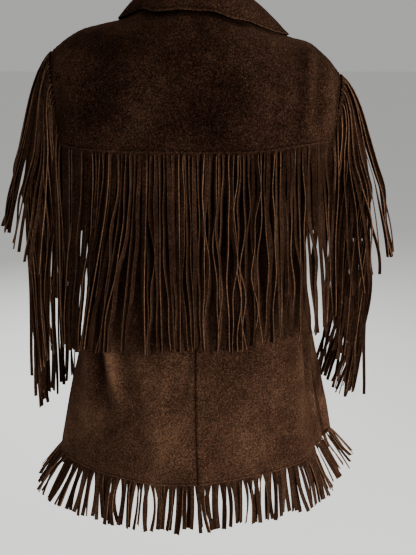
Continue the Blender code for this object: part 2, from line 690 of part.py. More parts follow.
def make_armhole_fringe(name, side):
    """Strands that leave the armhole seam over the sleeve's cap and then hang free."""
    grid, normals, angles = sleeve_grid(side)
    columns = np.arange(len(angles))
    first, last = np.interp(ARMHOLE_FRINGE_SPAN, angles, columns)
    edge = at(grid, np.zeros(SAMPLES), np.linspace(first, last, SAMPLES))
    places = first + strip_places(edge, ARMHOLE_STRANDS) * (last - first) / (SAMPLES - 1.0)
    low = CLOTH + LAP
    strip = strip_corners(grid, normals, ARMHOLE_STRIP_ROWS, places, (low, low + STRIP))
    strands = []
    for number, (root, across, width) in enumerate(roots(strip)):
        angle = float(np.interp((places[2 * number] + places[2 * number + 1]) / 2.0, columns, angles))
        path, widthways, outward = [], [], []
        for row, away in ARMHOLE_STRAND_LIFT:
            along = np.interp(row, np.arange(len(SLEEVE_ROWS)), SLEEVE_ROWS)
            place = np.interp(angle + SLEEVE_TWIST * ease(along), angles, columns)
            path.append(at(grid + normals * away, np.array(row), np.array(place)))
            widthways.append(at(grid, np.array(row), place + 0.2) - at(grid, np.array(row), place - 0.2))
            outward.append(at(normals, np.array(row), np.array(place)))
        covered = np.linalg.norm(np.diff(np.array([root] + path), axis=0), axis=1).sum()
        rest = max(LONG_STRAND + 0.012 * wave(number, 0.5, 1.9) - covered, 0.03)
        swing = ARMHOLE_FRINGE_SWING * max(math.cos(math.radians(angle)), 0.0)
        down = unit(np.array([side * swing, 0.05, -1.0]))
        path += [path[-1] + down * rest * 0.45, path[-1] + down * rest]
        widthways += widthways[-1:] * 2
        outward += outward[-1:] * 2
        rings = []
        for centre, sideways, out in zip(path, widthways, outward):
            rings += strand_rings([centre], sideways, out, width * ARMHOLE_STRAND_SHARE)
        strands.append(rings)
    comb("armhole_fringe_" + name, strip, strands)


def make_sleeve_fringe(name, side):
    """Strands that hang from the sleeve's back seam, down to the elbow and on to the cuff."""
    grid, normals, angles = sleeve_grid(side)
    back = seam_columns(angles)[1]
    rows = np.linspace(*SLEEVE_STRIP_ROWS, SAMPLES)
    seam = at(grid, rows, np.full(SAMPLES, float(back)))
    places = np.interp(strip_places(seam, SLEEVE_STRANDS), np.arange(SAMPLES), rows)
    low = CLOTH + SLEEVE_STRIP_LIFT
    top, foot = SLEEVE_STRIP_COLUMNS
    corners = []
    for column, height in ((top, low), (top, low + STRIP), (foot, low + STRIP), (foot, low)):
        corners.append(at(grid + normals * height, places, np.full(places.shape, back + column)))
    strip = np.stack(corners, axis=1)
    strands = []
    for number, (root, across, _) in enumerate(roots(strip)):
        place = (places[2 * number] + places[2 * number + 1]) / 2.0
        outward = at(normals, np.array(place), np.array(float(back)))
        along_forearm = ease((place - 4.7) / 1.5)
        length = LONG_STRAND + 0.010 * wave(number, 0.6, 1.7)
        sway = side * SLEEVE_STRAND_SWAY
        sideways = mix(-sway * ease((place - 2.8) / 1.2), sway, along_forearm)
        past_bend = ease((place - 6.8) / 1.5)
        away = mix(0.0065, 0.0020, past_bend)
        knee = root + outward * away - UP * SLEEVE_STRAND_KNEE + [sideways, 0.0, 0.0]
        path = [knee, knee + np.array([sideways, 0.003, -0.45 * length]),
                knee + np.array([2.0 * sideways, 0.004, -length])]
        facing = unit(outward * LEVEL)
        level = np.cross(facing, UP)
        level = level * np.sign(np.dot(level, across))
        width = mix(ABOVE_ELBOW_WIDTH, FOREARM_WIDTH, past_bend)
        strands.append(strand_rings(path, level, facing, width))
    comb("sleeve_fringe_" + name, strip, strands)


def hem_comb(name, face, sides, shares, count):
    """Strands that hang from a strip inside the hem and flare out a little."""
    levels = BACK_LEVELS if face > 0 else FRONT_LEVELS
    points, normals = body_grid(face, sides, shares, levels)
    places = strip_places(points[-1], count)
    last = len(levels) - 1.0
    step = (HEM_Z - UNDERARM_Z) / len(SKIRT_LEVELS)
    top = last + HEM_STRIP_TOP / step
    outward = (-LAP - STRIP, -LAP)
    strip = strip_corners(points, normals, (top, last), places, outward)
    strip[:, 2:] -= UP * HEM_STRIP_FOOT
    strands = []
    for number, (root, across, width) in enumerate(roots(strip)):
        level = unit(np.cross(across, UP) * LEVEL)
        level = level * np.sign(np.dot(level, root * LEVEL))
        sideways = abs(root[0]) / TORSO[0].side
        flare = HEM_FLARE_MIDDLE + HEM_FLARE_SIDES * sideways ** 3
        flare += 0.05 * wave(number, 0.8, 2.3)
        lean = 0.10 * wave(number, 0.22, 0.5)
        length = HEM_STRAND + 0.005 * wave(number, 0.9, 2.0)
        down = unit(level * flare + across * lean * 0.5 - UP)
        path = [root + down * length * 0.5, root + down * length - UP * 0.004]
        strands.append(strand_rings(path, across * LEVEL, level + UP * flare, width))
    comb(name, strip, strands)


def make_hem_fringes():
    sides, shares = back_columns()
    hem_comb("hem_fringe_back", 1, sides, shares, HEM_STRANDS_BACK)
    for name, side in SIDES.items():
        hem_comb("hem_fringe_front_" + name, -1, side, FRONT_SHARES, HEM_STRANDS_FRONT)


# ------------------------------------------------------------------ the jacket
def main():
    for thing in list(bpy.data.objects):
        bpy.data.objects.remove(thing, do_unlink=True)
    make_yoke()
    make_backs()
    make_fronts()
    make_collar()
    make_sleeves()
    make_yoke_fringe()
    for name, side in SIDES.items():
        make_armhole_fringe(name, side)
        make_sleeve_fringe(name, side)
    make_hem_fringes()


main()
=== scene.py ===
"""A fringed suede jacket, dressed: fine panels, stitches and fringe on the frame's solids.

The surfaces follow from the same tables as the solids, at a finer step, with the creases,
seams and stitches that the solids leave out. Everything is in metres in the row's frame:
the back faces +Y, the front -Y, and +X is the wearer's left.
"""
import math
from collections import namedtuple

import bmesh
import bpy
import numpy as np
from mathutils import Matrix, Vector


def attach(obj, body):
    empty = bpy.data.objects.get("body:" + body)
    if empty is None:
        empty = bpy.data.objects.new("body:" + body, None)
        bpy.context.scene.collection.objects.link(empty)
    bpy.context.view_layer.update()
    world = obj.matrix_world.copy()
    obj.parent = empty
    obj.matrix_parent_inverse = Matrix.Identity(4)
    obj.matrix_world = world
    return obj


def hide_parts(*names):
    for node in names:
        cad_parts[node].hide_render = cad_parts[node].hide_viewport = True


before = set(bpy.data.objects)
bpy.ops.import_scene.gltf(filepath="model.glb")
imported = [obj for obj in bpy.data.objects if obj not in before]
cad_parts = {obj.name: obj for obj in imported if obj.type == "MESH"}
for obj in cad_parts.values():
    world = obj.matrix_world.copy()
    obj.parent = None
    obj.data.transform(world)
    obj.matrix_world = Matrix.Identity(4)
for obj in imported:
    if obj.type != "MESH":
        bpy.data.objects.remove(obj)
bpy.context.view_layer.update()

# ------------------------------------------------------------------ the solids' sizes
CLOTH = 0.0016              # thickness of a panel
SEAM = 0.0004               # gap at a seam
LAP = 0.0007                # gap between layers that lie on each other
STRIP = 0.0010              # thickness of a fringe's strip
UP = np.array([0.0, 0.0, 1.0])
LEVEL = np.array([1.0, 1.0, 0.0])       # times a direction, its level part


def rows_of(kind, *rows):
    return tuple(kind(*row) for row in rows)


Section = namedtuple("Section", "z side back front roundness shift turn")
TORSO = rows_of(Section,
    (-0.700, 0.219, 0.139, 0.138, 1.75, 0.009, 0.07),
    (-0.620, 0.203, 0.134, 0.132, 1.90, 0.010, 0.06),
    (-0.540, 0.188, 0.128, 0.127, 2.00, 0.008, 0.04),
    (-0.460, 0.178, 0.120, 0.123, 2.10, 0.005, 0.02),
    (-0.380, 0.173, 0.114, 0.121, 2.20, 0.002, 0.00),
    (-0.300, 0.175, 0.115, 0.126, 2.30, 0.000, 0.00),
    (-0.235, 0.190, 0.122, 0.131, 2.30, 0.000, 0.00),
    (-0.177, 0.215, 0.125, 0.128, 2.30, 0.000, 0.00),
    (-0.080, 0.225, 0.120, 0.108, 2.30, 0.000, 0.00),
    (0.045, 0.225, 0.110, 0.085, 2.30, 0.000, 0.00),
)
Shoulder = namedtuple("Shoulder", "x left right")
SHOULDERS = rows_of(Shoulder,
    (0.000, 0.0450, 0.0450),
    (0.020, 0.0440, 0.0440),
    (0.050, 0.0310, 0.0280),
    (0.075, 0.0150, 0.0080),
    (0.092, 0.0055, -0.0055),
    (0.110, -0.0020, -0.0180),
    (0.140, -0.0090, -0.0280),
    (0.170, -0.0170, -0.0370),
    (0.190, -0.0280, -0.0530),
    (0.214, -0.0460, -0.0800),
)
ROUNDNESS = 2.3
SHOULDER_TIP = 0.214
EDGE_ANGLE = math.radians(64.3)
YOKE_SEAM_Z = -0.177
UNDERARM_Z = -0.235
HEM_Z = -0.700
NECK_HALF = 0.075
NECK_DROP_BACK = 0.018
NECK_DROP_FRONT = 0.105
NECK_SHARE = 0.244
FRONT_SHARE = 0.060
SHOULDER_ROUND_NECK = 0.120
SHOULDER_ROUND_TIP = 0.075
ROW_CROWDING = 1.6

Fold = namedtuple("Fold", "around_top around_foot z_top z_foot width depth")
FOLDS = rows_of(Fold,
    (0.62, 0.44, -0.480, -0.680, 0.055, -0.0050),
    (0.26, 0.22, -0.420, -0.960, 0.110, 0.0045),
    (-0.20, -0.24, -0.400, -0.980, 0.130, -0.0040),
    (-0.62, -0.60, -0.400, -0.960, 0.100, 0.0055),
    (-0.86, -0.84, -0.440, -0.940, 0.070, -0.0045),
    (0.88, 0.86, -0.420, -0.960, 0.080, 0.0050),
    (1.30, 1.26, -0.400, -0.960, 0.110, -0.0050),
    (1.62, 1.66, -0.380, -0.940, 0.100, 0.0060),
    (-1.32, -1.30, -0.420, -0.960, 0.110, 0.0050),
    (-1.66, -1.70, -0.380, -0.940, 0.100, -0.0055),
    (0.72, 0.78, -0.190, -0.400, 0.080, -0.0045),
    (-0.74, -0.78, -0.190, -0.420, 0.080, -0.0045),
    (1.15, 1.14, -0.300, -1.060, 0.130, 0.0110),
    (-1.17, -1.16, -0.300, -1.060, 0.140, 0.0200),
)

Arm = namedtuple("Arm", "along width depth")
ARM = rows_of(Arm,
    (1.0, 0.0370, 0.0500),
    (1.5, 0.0375, 0.0500),
    (2.0, 0.0385, 0.0460),
    (2.5, 0.0400, 0.0420),
    (3.0, 0.0405, 0.0405),
)
UPPER_ARM_X = 0.2345
ELBOW_PIVOT_Y = -0.046
ELBOW_PIVOT_Z = -0.245
ELBOW_RADIUS = 0.054
ELBOW_BEND = math.radians(82.0)
FOREARM_LENGTH = 0.195
FOREARM_INWARD = 0.20
CAP_FULLNESS = 0.020
CONTROL_SHARE = 0.35
SLEEVE_TWIST = 30.0
FRONT_SEAM_ANGLE = -100.0
BACK_SEAM_ANGLE = 88.0
SleeveCrease = namedtuple("SleeveCrease", "along angle length spread depth")
CREASES = rows_of(SleeveCrease,
    (1.00, -105.0, 0.16, 55.0, -0.0050),
    (1.42, -100.0, 0.14, 60.0, -0.0060),
    (1.20, -100.0, 0.12, 70.0, 0.0030),
    (0.62, 60.0, 0.22, 60.0, -0.0040),
    (2.20, 20.0, 0.20, 80.0, -0.0035),
)

Profile = namedtuple("Profile", "place out up")
STAND = rows_of(Profile,
    (0.0, 0.000, 0.00),
    (1.0, -0.003, 0.50),
    (2.0, -0.003, 0.88),
    (3.0, 0.003, 1.04),
    (4.0, 0.011, 0.95),
)
Edge = namedtuple("Edge", "place face share level stand")
COLLAR_EDGE_LEFT = rows_of(Edge,
    (0.00, 1, 0.000, 0.165, 0.030),
    (0.25, 1, 0.200, 0.130, 0.034),
    (0.50, 1, 0.390, 0.020, 0.038),
    (0.75, -1, 0.400, 0.260, 0.032),
    (1.00, -1, 0.330, 0.500, 0.020),
)
COLLAR_EDGE_RIGHT = rows_of(Edge,
    (0.00, 1, 0.000, 0.165, 0.030),
    (0.25, 1, 0.270, 0.190, 0.034),
    (0.50, 1, 0.490, 0.030, 0.038),
    (0.75, -1, 0.460, 0.260, 0.032),
    (1.00, -1, 0.360, 0.500, 0.020),
)
NECK_POINT_PLACE = 0.5
NECK_MIDDLE_Y = -0.012
FALL_BULGE = 0.002
FALL_CLEARANCE = 0.0052

YOKE_TUCK = 0.008
YOKE_LAP = 0.004
YOKE_LIFT_LEVELS = (0.52, 0.955)
YOKE_EDGE_EASE = 0.7
LONG_STRAND = 0.300
ARMHOLE_STRAND = {"left": 0.280, "right": 0.290}
SWING = {"left": 0.25, "right": 0.19}
FOREARM_SHORTER = {"left": 0.022, "right": 0.034}
HEM_STRAND = 0.077
SIDES = {"left": 1, "right": -1}


# ------------------------------------------------------------------ the solids' surfaces
def curve(values, keys, at):
    """A smooth curve through values at rising keys, read at any places between them."""
    slopes = np.gradient(values, keys, axis=0)
    low = np.clip(np.searchsorted(keys, at, side="right") - 1, 0, len(keys) - 2)
    span = keys[low + 1] - keys[low]
    t = (at - keys[low]) / span
    if values.ndim == 3:
        span, t = span[:, None, None], t[:, None, None]
    rise = (3.0 - 2.0 * t) * t * t
    return (values[low] * (1.0 - rise) + values[low + 1] * rise
            + span * t * (1.0 - t) * (slopes[low] * (1.0 - t) - slopes[low + 1] * t))


def smooth(rows, key, value, at):
    """A table's column at any key, on a smooth curve through its rows."""
    rows = sorted(rows, key=lambda row: getattr(row, key))
    keys = np.array([getattr(row, key) for row in rows], dtype=float)
    values = np.array([getattr(row, value) for row in rows], dtype=float)
    return curve(values, keys, np.clip(at, keys[0], keys[-1]))


def unit(vectors):
    return vectors / np.maximum(np.linalg.norm(vectors, axis=-1, keepdims=True), 1e-12)


def ease(t):
    """A soft step from 0 to 1."""
    t = np.clip(t, 0.0, 1.0)
    return (3.0 - 2.0 * t) * t * t


def mix(a, b, share):
    return a * (1.0 - share) + b * share


def bell(distance, width):
    return np.exp(-(distance / width) ** 2)


def at(grid, row, column):
    """The point of a grid at fractional places."""
    row = np.clip(row, 0.0, grid.shape[0] - 1.0)
    column = np.clip(column, 0.0, grid.shape[1] - 1.0)
    r = np.minimum(np.floor(row).astype(int), grid.shape[0] - 2)
    c = np.minimum(np.floor(column).astype(int), grid.shape[1] - 2)
    down = np.asarray(row - r)[..., None]
    along = np.asarray(column - c)[..., None]
    upper = mix(grid[r, c], grid[r, c + 1], along)
    lower = mix(grid[r + 1, c], grid[r + 1, c + 1], along)
    return mix(upper, lower, down)


def reach(line):
    """Distance along a line of points, from its first point."""
    steps = np.linalg.norm(np.diff(line, axis=0), axis=1)
    return np.concatenate([[0.0], np.cumsum(steps)])


def read(line, length, places):
    """Points of a line, or directions along it, at distances from its first point."""
    return np.stack([np.interp(places, length, line[:, k]) for k in range(3)], axis=-1)


def shoulder_height(side, x):
    return np.where(side > 0, smooth(SHOULDERS, "x", "left", x), smooth(SHOULDERS, "x", "right", x))


def section(z, face):
    depth = np.where(face > 0, smooth(TORSO, "z", "back", z), smooth(TORSO, "z", "front", z))
    return smooth(TORSO, "z", "side", z), depth


def edge_ratio(level):
    full = math.cos(EDGE_ANGLE) ** (2.0 / ROUNDNESS)
    below_seam = np.clip(level - 1.0, 0.0, 1.0)
    return full * np.sqrt(1.0 - below_seam ** 2)


def body(face, side, share, level):
    """Points of the body's surface: share 0 at the middle line, 1 at the armhole and the side
    seam; level 0 at the shoulder seam, 1 at the yoke seam, 2 at the underarm, 3 at the hem."""
    side, share, level = np.broadcast_arrays(side, share, level)
    angle = share * np.arccos(edge_ratio(level) ** (ROUNDNESS / 2.0))
    tip_width = SHOULDER_TIP / math.sin(EDGE_ANGLE) ** (2.0 / ROUNDNESS)
    top_x = tip_width * np.sin(share * EDGE_ANGLE) ** (2.0 / ROUNDNESS)
    top_z = shoulder_height(side, top_x)
    fall = top_z - YOKE_SEAM_Z
    drop = NECK_DROP_BACK if face > 0 else NECK_DROP_FRONT
    neck = drop * np.clip(1.0 - (top_x / NECK_HALF) ** 2, 0.0, 1.0)
    start = (neck / fall) ** (1.0 / ROW_CROWDING)
    down = (start + (1.0 - start) * np.clip(level, 0.0, 1.0)) ** ROW_CROWDING
    z_above = top_z - fall * down
    z_middle = YOKE_SEAM_Z + (UNDERARM_Z - YOKE_SEAM_Z) * (level - 1.0)
    z_below = UNDERARM_Z + (HEM_Z - UNDERARM_Z) * (level - 2.0)
    z = np.where(level <= 1.0, z_above, np.where(level <= 2.0, z_middle, z_below))
    width, depth = section(z, face)
    seam_width, _ = section(YOKE_SEAM_Z, face)
    width = np.where(level <= 1.0, mix(tip_width, seam_width, np.clip(down, 0.0, 1.0)), width)
    rounding = mix(SHOULDER_ROUND_NECK, SHOULDER_ROUND_TIP, share)
    over = np.clip((top_z - z) / rounding, 0.0, 1.0)
    turned = np.where(level <= 1.0, np.sqrt(1.0 - (1.0 - over) ** 2), 1.0)
    power = 2.0 / smooth(TORSO, "z", "roundness", z)
    x = side * width * np.sin(angle) ** power
    y = face * depth * np.clip(np.cos(angle), 0.0, 1.0) ** power * turned
    turn = smooth(TORSO, "z", "turn", z)
    return np.stack([x - turn * y + smooth(TORSO, "z", "shift", z), y + turn * x, z], axis=-1)


def body_normals(face, side, share, level):
    step = 1e-3
    inward = np.clip(share - step, 0.0, 1.0)
    outward = np.clip(share + step, 0.0, 1.0)
    above = np.clip(level - step, 0.0, 3.0)
    below = np.clip(level + step, 0.0, 3.0)
    across = body(face, side, outward, level) - body(face, side, inward, level)
    down = body(face, side, share, below) - body(face, side, share, above)
    normals = unit(np.cross(across, down)) * face * np.asarray(side)[..., None]
    middle = np.asarray(share)[..., None] < step
    return np.where(middle, unit(normals * np.array([0.0, 1.0, 1.0])), normals)


def fold_depth(face, side, share, z):
    """How far the solids' folds move the surface out."""
    around = side * np.where(face > 0, share, 2.0 - share)
    moved = np.zeros(np.broadcast(around, z).shape)
    for fold in FOLDS:
        run = np.clip((fold.z_top - z) / (fold.z_top - fold.z_foot), 0.0, 1.0)
        middle = mix(fold.around_top, fold.around_foot, run)
        moved = moved + fold.depth * np.sin(math.pi * run) ** 2 * bell(around - middle, fold.width)
    return moved


def level_at(z_above_seam):
    """The level a short way above the yoke seam, at the middle of the back."""
    fall = SHOULDERS[0].left - YOKE_SEAM_Z
    start = (NECK_DROP_BACK / fall) ** (1.0 / ROW_CROWDING)
    down = (1.0 - z_above_seam / fall) ** (1.0 / ROW_CROWDING)
    return (down - start) / (1.0 - start)


Rise = namedtuple("Rise", "high start run")
SEAM_RISES = (Rise(0.004, 0.130, 0.080), Rise(0.011, 0.050, 0.150))     # left and right


def seam_rise(side, x):
    """How much higher than the solids' level line the yoke seam runs, towards its ends."""
    left, right = SEAM_RISES
    return np.where(side > 0, left.high * ease((x - left.start) / left.run),
                    right.high * ease((-right.start - x) / right.run))


def risen(side, share):
    """The same rise as a share of one level."""
    x = np.asarray(side) * SHOULDER_TIP * np.sin(np.asarray(share) * EDGE_ANGLE)
    fall = shoulder_height(side, np.abs(x)) - YOKE_SEAM_Z
    return seam_rise(side, x) / (ROW_CROWDING * fall)


def arm_frame(side, along):
    """Middle of the sleeve and the direction of its back, at the elbow and below."""
    bend = ELBOW_BEND * np.clip(along - 1.0, 0.0, 1.0)
    behind = np.stack([0.0 * bend, np.cos(bend), -np.sin(bend)], axis=-1)
    pivot = np.array([side * UPPER_ARM_X, ELBOW_PIVOT_Y, ELBOW_PIVOT_Z])
    forward = np.array([-side * FOREARM_INWARD, -math.sin(ELBOW_BEND), -math.cos(ELBOW_BEND)])
    far = FOREARM_LENGTH * np.clip(along - 2.0, 0.0, 1.0)
    return pivot + behind * ELBOW_RADIUS + far[..., None] * forward, behind


ARMHOLE_LEVELS = np.concatenate([np.linspace(0.0, 1.0, 40), np.linspace(1.0, 2.0, 40)[1:]])


def armhole(side):
    """The armhole's edge on the body, once around, and its angle from the top."""
    lines = []
    for face, sign in ((-1, -1.0), (1, 1.0)):
        share = np.ones(len(ARMHOLE_LEVELS))
        points = body(face, side, share, ARMHOLE_LEVELS)
        normals = body_normals(face, side, share, ARMHOLE_LEVELS)
        points = points + normals * fold_depth(face, side, share, points[:, 2])[:, None]
        length = reach(points)
        lines.append((points, sign * 180.0 * length / length[-1]))
    loop = np.concatenate([lines[0][0][::-1][:-1], lines[1][0]])
    angles = np.concatenate([lines[0][1][::-1][:-1], lines[1][1]])
    return loop, angles


def sleeve_surface(side, angles, rows):
    """Points of the sleeve's surface: a row for each place along it, a column for each angle."""
    whole, places = armhole(side)
    wrapped = (angles + 180.0) % 360.0 - 180.0
    wrapped = np.where((wrapped < -179.999) & (angles > 0), 180.0, wrapped)
    loop = read(whole, places, wrapped)
    outside = np.array([float(side), 0.0, 0.0])
    grid = []
    for along in rows:
        turned = np.radians(angles - SLEEVE_TWIST * ease(along))
        middle, behind = arm_frame(side, np.array(max(along, 1.0)))
        width = smooth(ARM, "along", "width", max(along, 1.0))
        depth = smooth(ARM, "along", "depth", max(along, 1.0))
        ring = (middle + np.cos(turned)[:, None] * outside * width
                + np.sin(turned)[:, None] * behind * depth)
        if along < 1.0:
            lower = (1.0 - np.cos(np.radians(angles))) / 2.0
            start = loop + outside * (SEAM + 2.0 * CLOTH * lower ** 2)[:, None]
            fullness = (CAP_FULLNESS * (1.0 - lower))[:, None] * outside
            control = mix(start, ring, CONTROL_SHARE) + fullness
            ring = (start * (1.0 - along) ** 2 + control * 2.0 * along * (1.0 - along)
                    + ring * along ** 2)
        grid.append(ring)
    return np.array(grid)


# ------------------------------------------------------------------ fine rows and columns
EDGE_STEPS = np.array([0.0, 0.0006, 0.0014, 0.0026, 0.0040, 0.0054, 0.0068, 0.0086, 0.0115])
STITCH_LINE = 4             # the place in EDGE_STEPS that a topstitch follows
TRIES = 220                 # points that a panel's row is first measured with
YOKE_PITCH = 0.0032         # distances between points, in metres: down, and across a panel
BACK_PITCH = (0.0034, 0.0032)
FRONT_PITCH = (0.0050, 0.0048)
COLLAR_PITCH = 0.0045
SLEEVE_PITCH = 0.0034


def spaced(length, pitch, crowd_start=True, count=None):
    """Places along a length, closer together at its edges; count, where it is given, is how
    many there are, whatever their pitch."""
    low = EDGE_STEPS if crowd_start else np.zeros(1)
    high = length - EDGE_STEPS[::-1]
    if count is None:
        between = max(int(round((high[0] - low[-1]) / pitch)), 2) - 1
    else:
        between = count - len(low) - len(high)
    return np.concatenate([low, np.linspace(low[-1], high[0], between + 2)[1:-1], high])


def row_levels(face, side, share, tries, pitch, crowd_start=True):
    """Levels of a panel's rows, at even real distances down one line of the body."""
    length = reach(body(face, side, share, tries))
    return np.interp(spaced(length[-1], pitch, crowd_start), length, tries)


def half_panel(face, side, start, levels, pitch, gaps, crowd_start=True):
    """Shares for each level, at even real distances, with gaps at both ends of each row."""
    tries = np.linspace(start, 1.0, TRIES)
    middle = reach(body(face, side, tries, np.full(TRIES, 1.0)))[-1]
    count = len(spaced(middle, pitch, crowd_start))
    rows = []
    for number, level in enumerate(levels):
        length = reach(body(face, side, tries, np.full(TRIES, level)))
        gap = [np.broadcast_to(g, len(levels))[number] for g in gaps]
        inner = length[-1] - gap[0] - gap[1]
        places = spaced(inner, pitch, crowd_start, count) + gap[0]
        rows.append(np.interp(places, length, tries))
    return np.array(rows)


def edge_distances(grid):
    """Distance of each point of a grid to its four edges, along the grid."""
    steps = np.linalg.norm(np.diff(grid, axis=1), axis=2)
    across = np.concatenate([np.zeros((grid.shape[0], 1)), np.cumsum(steps, axis=1)], axis=1)
    steps = np.linalg.norm(np.diff(grid, axis=0), axis=2)
    down = np.concatenate([np.zeros((1, grid.shape[1])), np.cumsum(steps, axis=0)], axis=0)
    return {"start": across, "end": across[:, -1:] - across, "top": down, "foot": down[-1:] - down}


# ------------------------------------------------------------------ creases and seams
METRES_AROUND = 0.215       # one step of "around" in metres, near enough for a crease's width
Crease = namedtuple("Crease", "around_top z_top around_foot z_foot bow width depth")
# around: 0 middle of the back, 1 left side seam, -1 right one
BACK_CREASES = rows_of(Crease,
    (-0.36, -0.030, -0.03, -0.176, 0.010, 0.0280, -0.0036),
    (-0.42, -0.060, -0.43, -0.170, 0.002, 0.0100, -0.0024),
    (-0.56, -0.040, -0.57, -0.172, -0.003, 0.0110, -0.0036),
    (-0.65, -0.040, -0.67, -0.160, 0.004, 0.0100, 0.0036),
    (-0.74, -0.030, -0.77, -0.168, 0.000, 0.0100, -0.0028),
    (-0.88, -0.050, -0.89, -0.160, 0.000, 0.0110, 0.0016),
    (-0.52, 0.000, -0.30, -0.060, 0.004, 0.0180, 0.0020),
    (0.20, -0.040, 0.36, -0.130, 0.006, 0.0240, 0.0018),
    (0.48, -0.050, 0.60, -0.170, -0.006, 0.0200, -0.0024),
    (0.70, -0.030, 0.78, -0.160, 0.004, 0.0160, 0.0022),
    (0.86, -0.060, 0.90, -0.168, 0.000, 0.0100, -0.0020),
    (0.10, -0.100, 0.26, -0.172, 0.003, 0.0160, -0.0016),
    (0.405, -0.582, 0.605, -0.400, -0.003, 0.0070, 0.0085),
    (0.700, -0.430, 0.520, -0.590, 0.003, 0.0110, -0.0085),
    (0.490, -0.400, 0.300, -0.580, 0.003, 0.0100, -0.0030),
    (0.740, -0.420, 0.700, -0.610, 0.002, 0.0160, 0.0030),
    (0.03, -0.470, 0.14, -0.590, -0.008, 0.0040, -0.0022),
    (0.16, -0.470, 0.21, -0.580, -0.004, 0.0060, 0.0016),
    (-0.770, -0.400, -0.740, -0.560, -0.004, 0.0085, 0.0026),
    (-0.700, -0.410, -0.600, -0.590, -0.005, 0.0140, -0.0038),
    (-0.920, -0.370, -0.930, -0.780, 0.000, 0.0100, 0.0060),
    (-0.840, -0.420, -0.850, -0.620, 0.000, 0.0095, -0.0030),
    (-0.34, -0.500, -0.16, -0.590, 0.006, 0.0180, -0.0016),
    (0.34, -0.560, 0.28, -0.690, 0.000, 0.0160, -0.0018),
    (-0.44, -0.600, -0.40, -0.695, 0.002, 0.0150, 0.0016),
    (0.78, -0.560, 0.76, -0.695, 0.000, 0.0130, -0.0024),
    (0.10, -0.620, 0.08, -0.700, 0.000, 0.0120, 0.0014),
    (0.55, -0.300, 0.20, -0.390, 0.010, 0.0120, -0.0022),
    (-0.60, -0.310, -0.25, -0.400, -0.008, 0.0130, -0.0024),
    (0.85, -0.260, 0.45, -0.330, 0.008, 0.0100, 0.0020),
    (-0.88, -0.270, -0.50, -0.350, -0.006, 0.0110, 0.0020),
)
# around: 1 left side seam, 2 left front edge, and -1, -2 right
FRONT_CREASES = rows_of(Crease,
    (1.12, -0.150, 1.46, -0.260, 0.014, 0.0120, 0.0028),
    (1.16, -0.190, 1.52, -0.310, 0.012, 0.0140, -0.0034),
    (1.30, -0.060, 1.42, -0.180, 0.006, 0.0130, -0.0016),
    (1.58, -0.080, 1.66, -0.230, 0.004, 0.0180, 0.0016),
    (1.22, -0.340, 1.60, -0.430, 0.012, 0.0100, -0.0026),
    (1.30, -0.390, 1.74, -0.470, 0.010, 0.0090, 0.0022),
    (1.44, -0.470, 1.36, -0.640, 0.006, 0.0120, -0.0032),
    (1.78, -0.400, 1.82, -0.600, -0.005, 0.0110, 0.0024),
    (1.70, -0.560, 1.72, -0.695, 0.000, 0.0150, -0.0024),
    (-1.090, -0.330, -1.120, -0.840, 0.000, 0.0260, 0.0105),
    (-1.140, -0.480, -1.160, -0.940, 0.000, 0.0380, 0.0080),
    (-1.13, -0.160, -1.42, -0.250, -0.012, 0.0120, 0.0026),
    (-1.18, -0.200, -1.55, -0.330, -0.014, 0.0130, -0.0032),
    (-1.34, -0.070, -1.46, -0.190, -0.005, 0.0140, -0.0018),
    (-1.62, -0.090, -1.70, -0.260, -0.006, 0.0170, 0.0016),
    (-1.20, -0.330, -1.64, -0.420, -0.012, 0.0110, -0.0026),
    (-1.28, -0.400, -1.70, -0.490, -0.010, 0.0090, 0.0020),
    (-1.50, -0.480, -1.42, -0.650, -0.006, 0.0130, -0.0030),
    (-1.84, -0.390, -1.80, -0.590, 0.006, 0.0100, 0.0022),
    (-1.66, -0.580, -1.70, -0.695, 0.000, 0.0140, 0.0022),
)
# angle: 0 the outer side at the armhole, 90 the back, -90 the front
SLEEVE_WRINKLES = rows_of(SleeveCrease,
    (0.30, -60.0, 0.10, 26.0, -0.0020),
    (0.48, -78.0, 0.08, 30.0, 0.0022),
    (0.70, -95.0, 0.08, 34.0, -0.0028),
    (0.86, -88.0, 0.06, 38.0, 0.0026),
    (1.10, -92.0, 0.05, 46.0, 0.0024),
    (1.30, -85.0, 0.05, 50.0, -0.0030),
    (1.56, -98.0, 0.06, 44.0, 0.0024),
    (1.74, -90.0, 0.06, 40.0, -0.0022),
    (1.30, 10.0, 0.10, 26.0, -0.0022),
    (1.52, 24.0, 0.09, 30.0, 0.0018),
    (0.40, 20.0, 0.12, 22.0, -0.0016),
    (0.62, 30.0, 0.10, 26.0, 0.0016),
    (0.90, 40.0, 0.10, 30.0, -0.0020),
    (1.90, 60.0, 0.10, 40.0, 0.0016),
    (2.08, -60.0, 0.07, 36.0, -0.0020),
    (2.30, -20.0, 0.06, 46.0, 0.0014),
    (2.46, 100.0, 0.07, 50.0, -0.0016),
    (2.62, 10.0, 0.06, 50.0, -0.0014),
    (2.80, -100.0, 0.06, 50.0, 0.0012),
    (0.55, 150.0, 0.12, 40.0, -0.0022),
    (0.78, 170.0, 0.10, 44.0, 0.0020),
)


def crease_depth(table, around, z):
    """How far the listed creases move the surface out."""
    moved = np.zeros(around.shape)
    for crease in table:
        run_x = (crease.around_foot - crease.around_top) * METRES_AROUND
        run_z = crease.z_foot - crease.z_top
        length = math.hypot(run_x, run_z)
        x = (around - crease.around_top) * METRES_AROUND
        down = z - crease.z_top
        t = np.clip((x * run_x + down * run_z) / length ** 2, 0.0, 1.0)
        off = (x * run_z - down * run_x) / length
        swell = np.sin(math.pi * t)
        off = off + crease.bow * swell
        shape = bell(off, crease.width) - 0.4 * bell(off - 1.7 * crease.width, 1.2 * crease.width)
        moved = moved + crease.depth * swell ** 0.8 * shape
    return moved


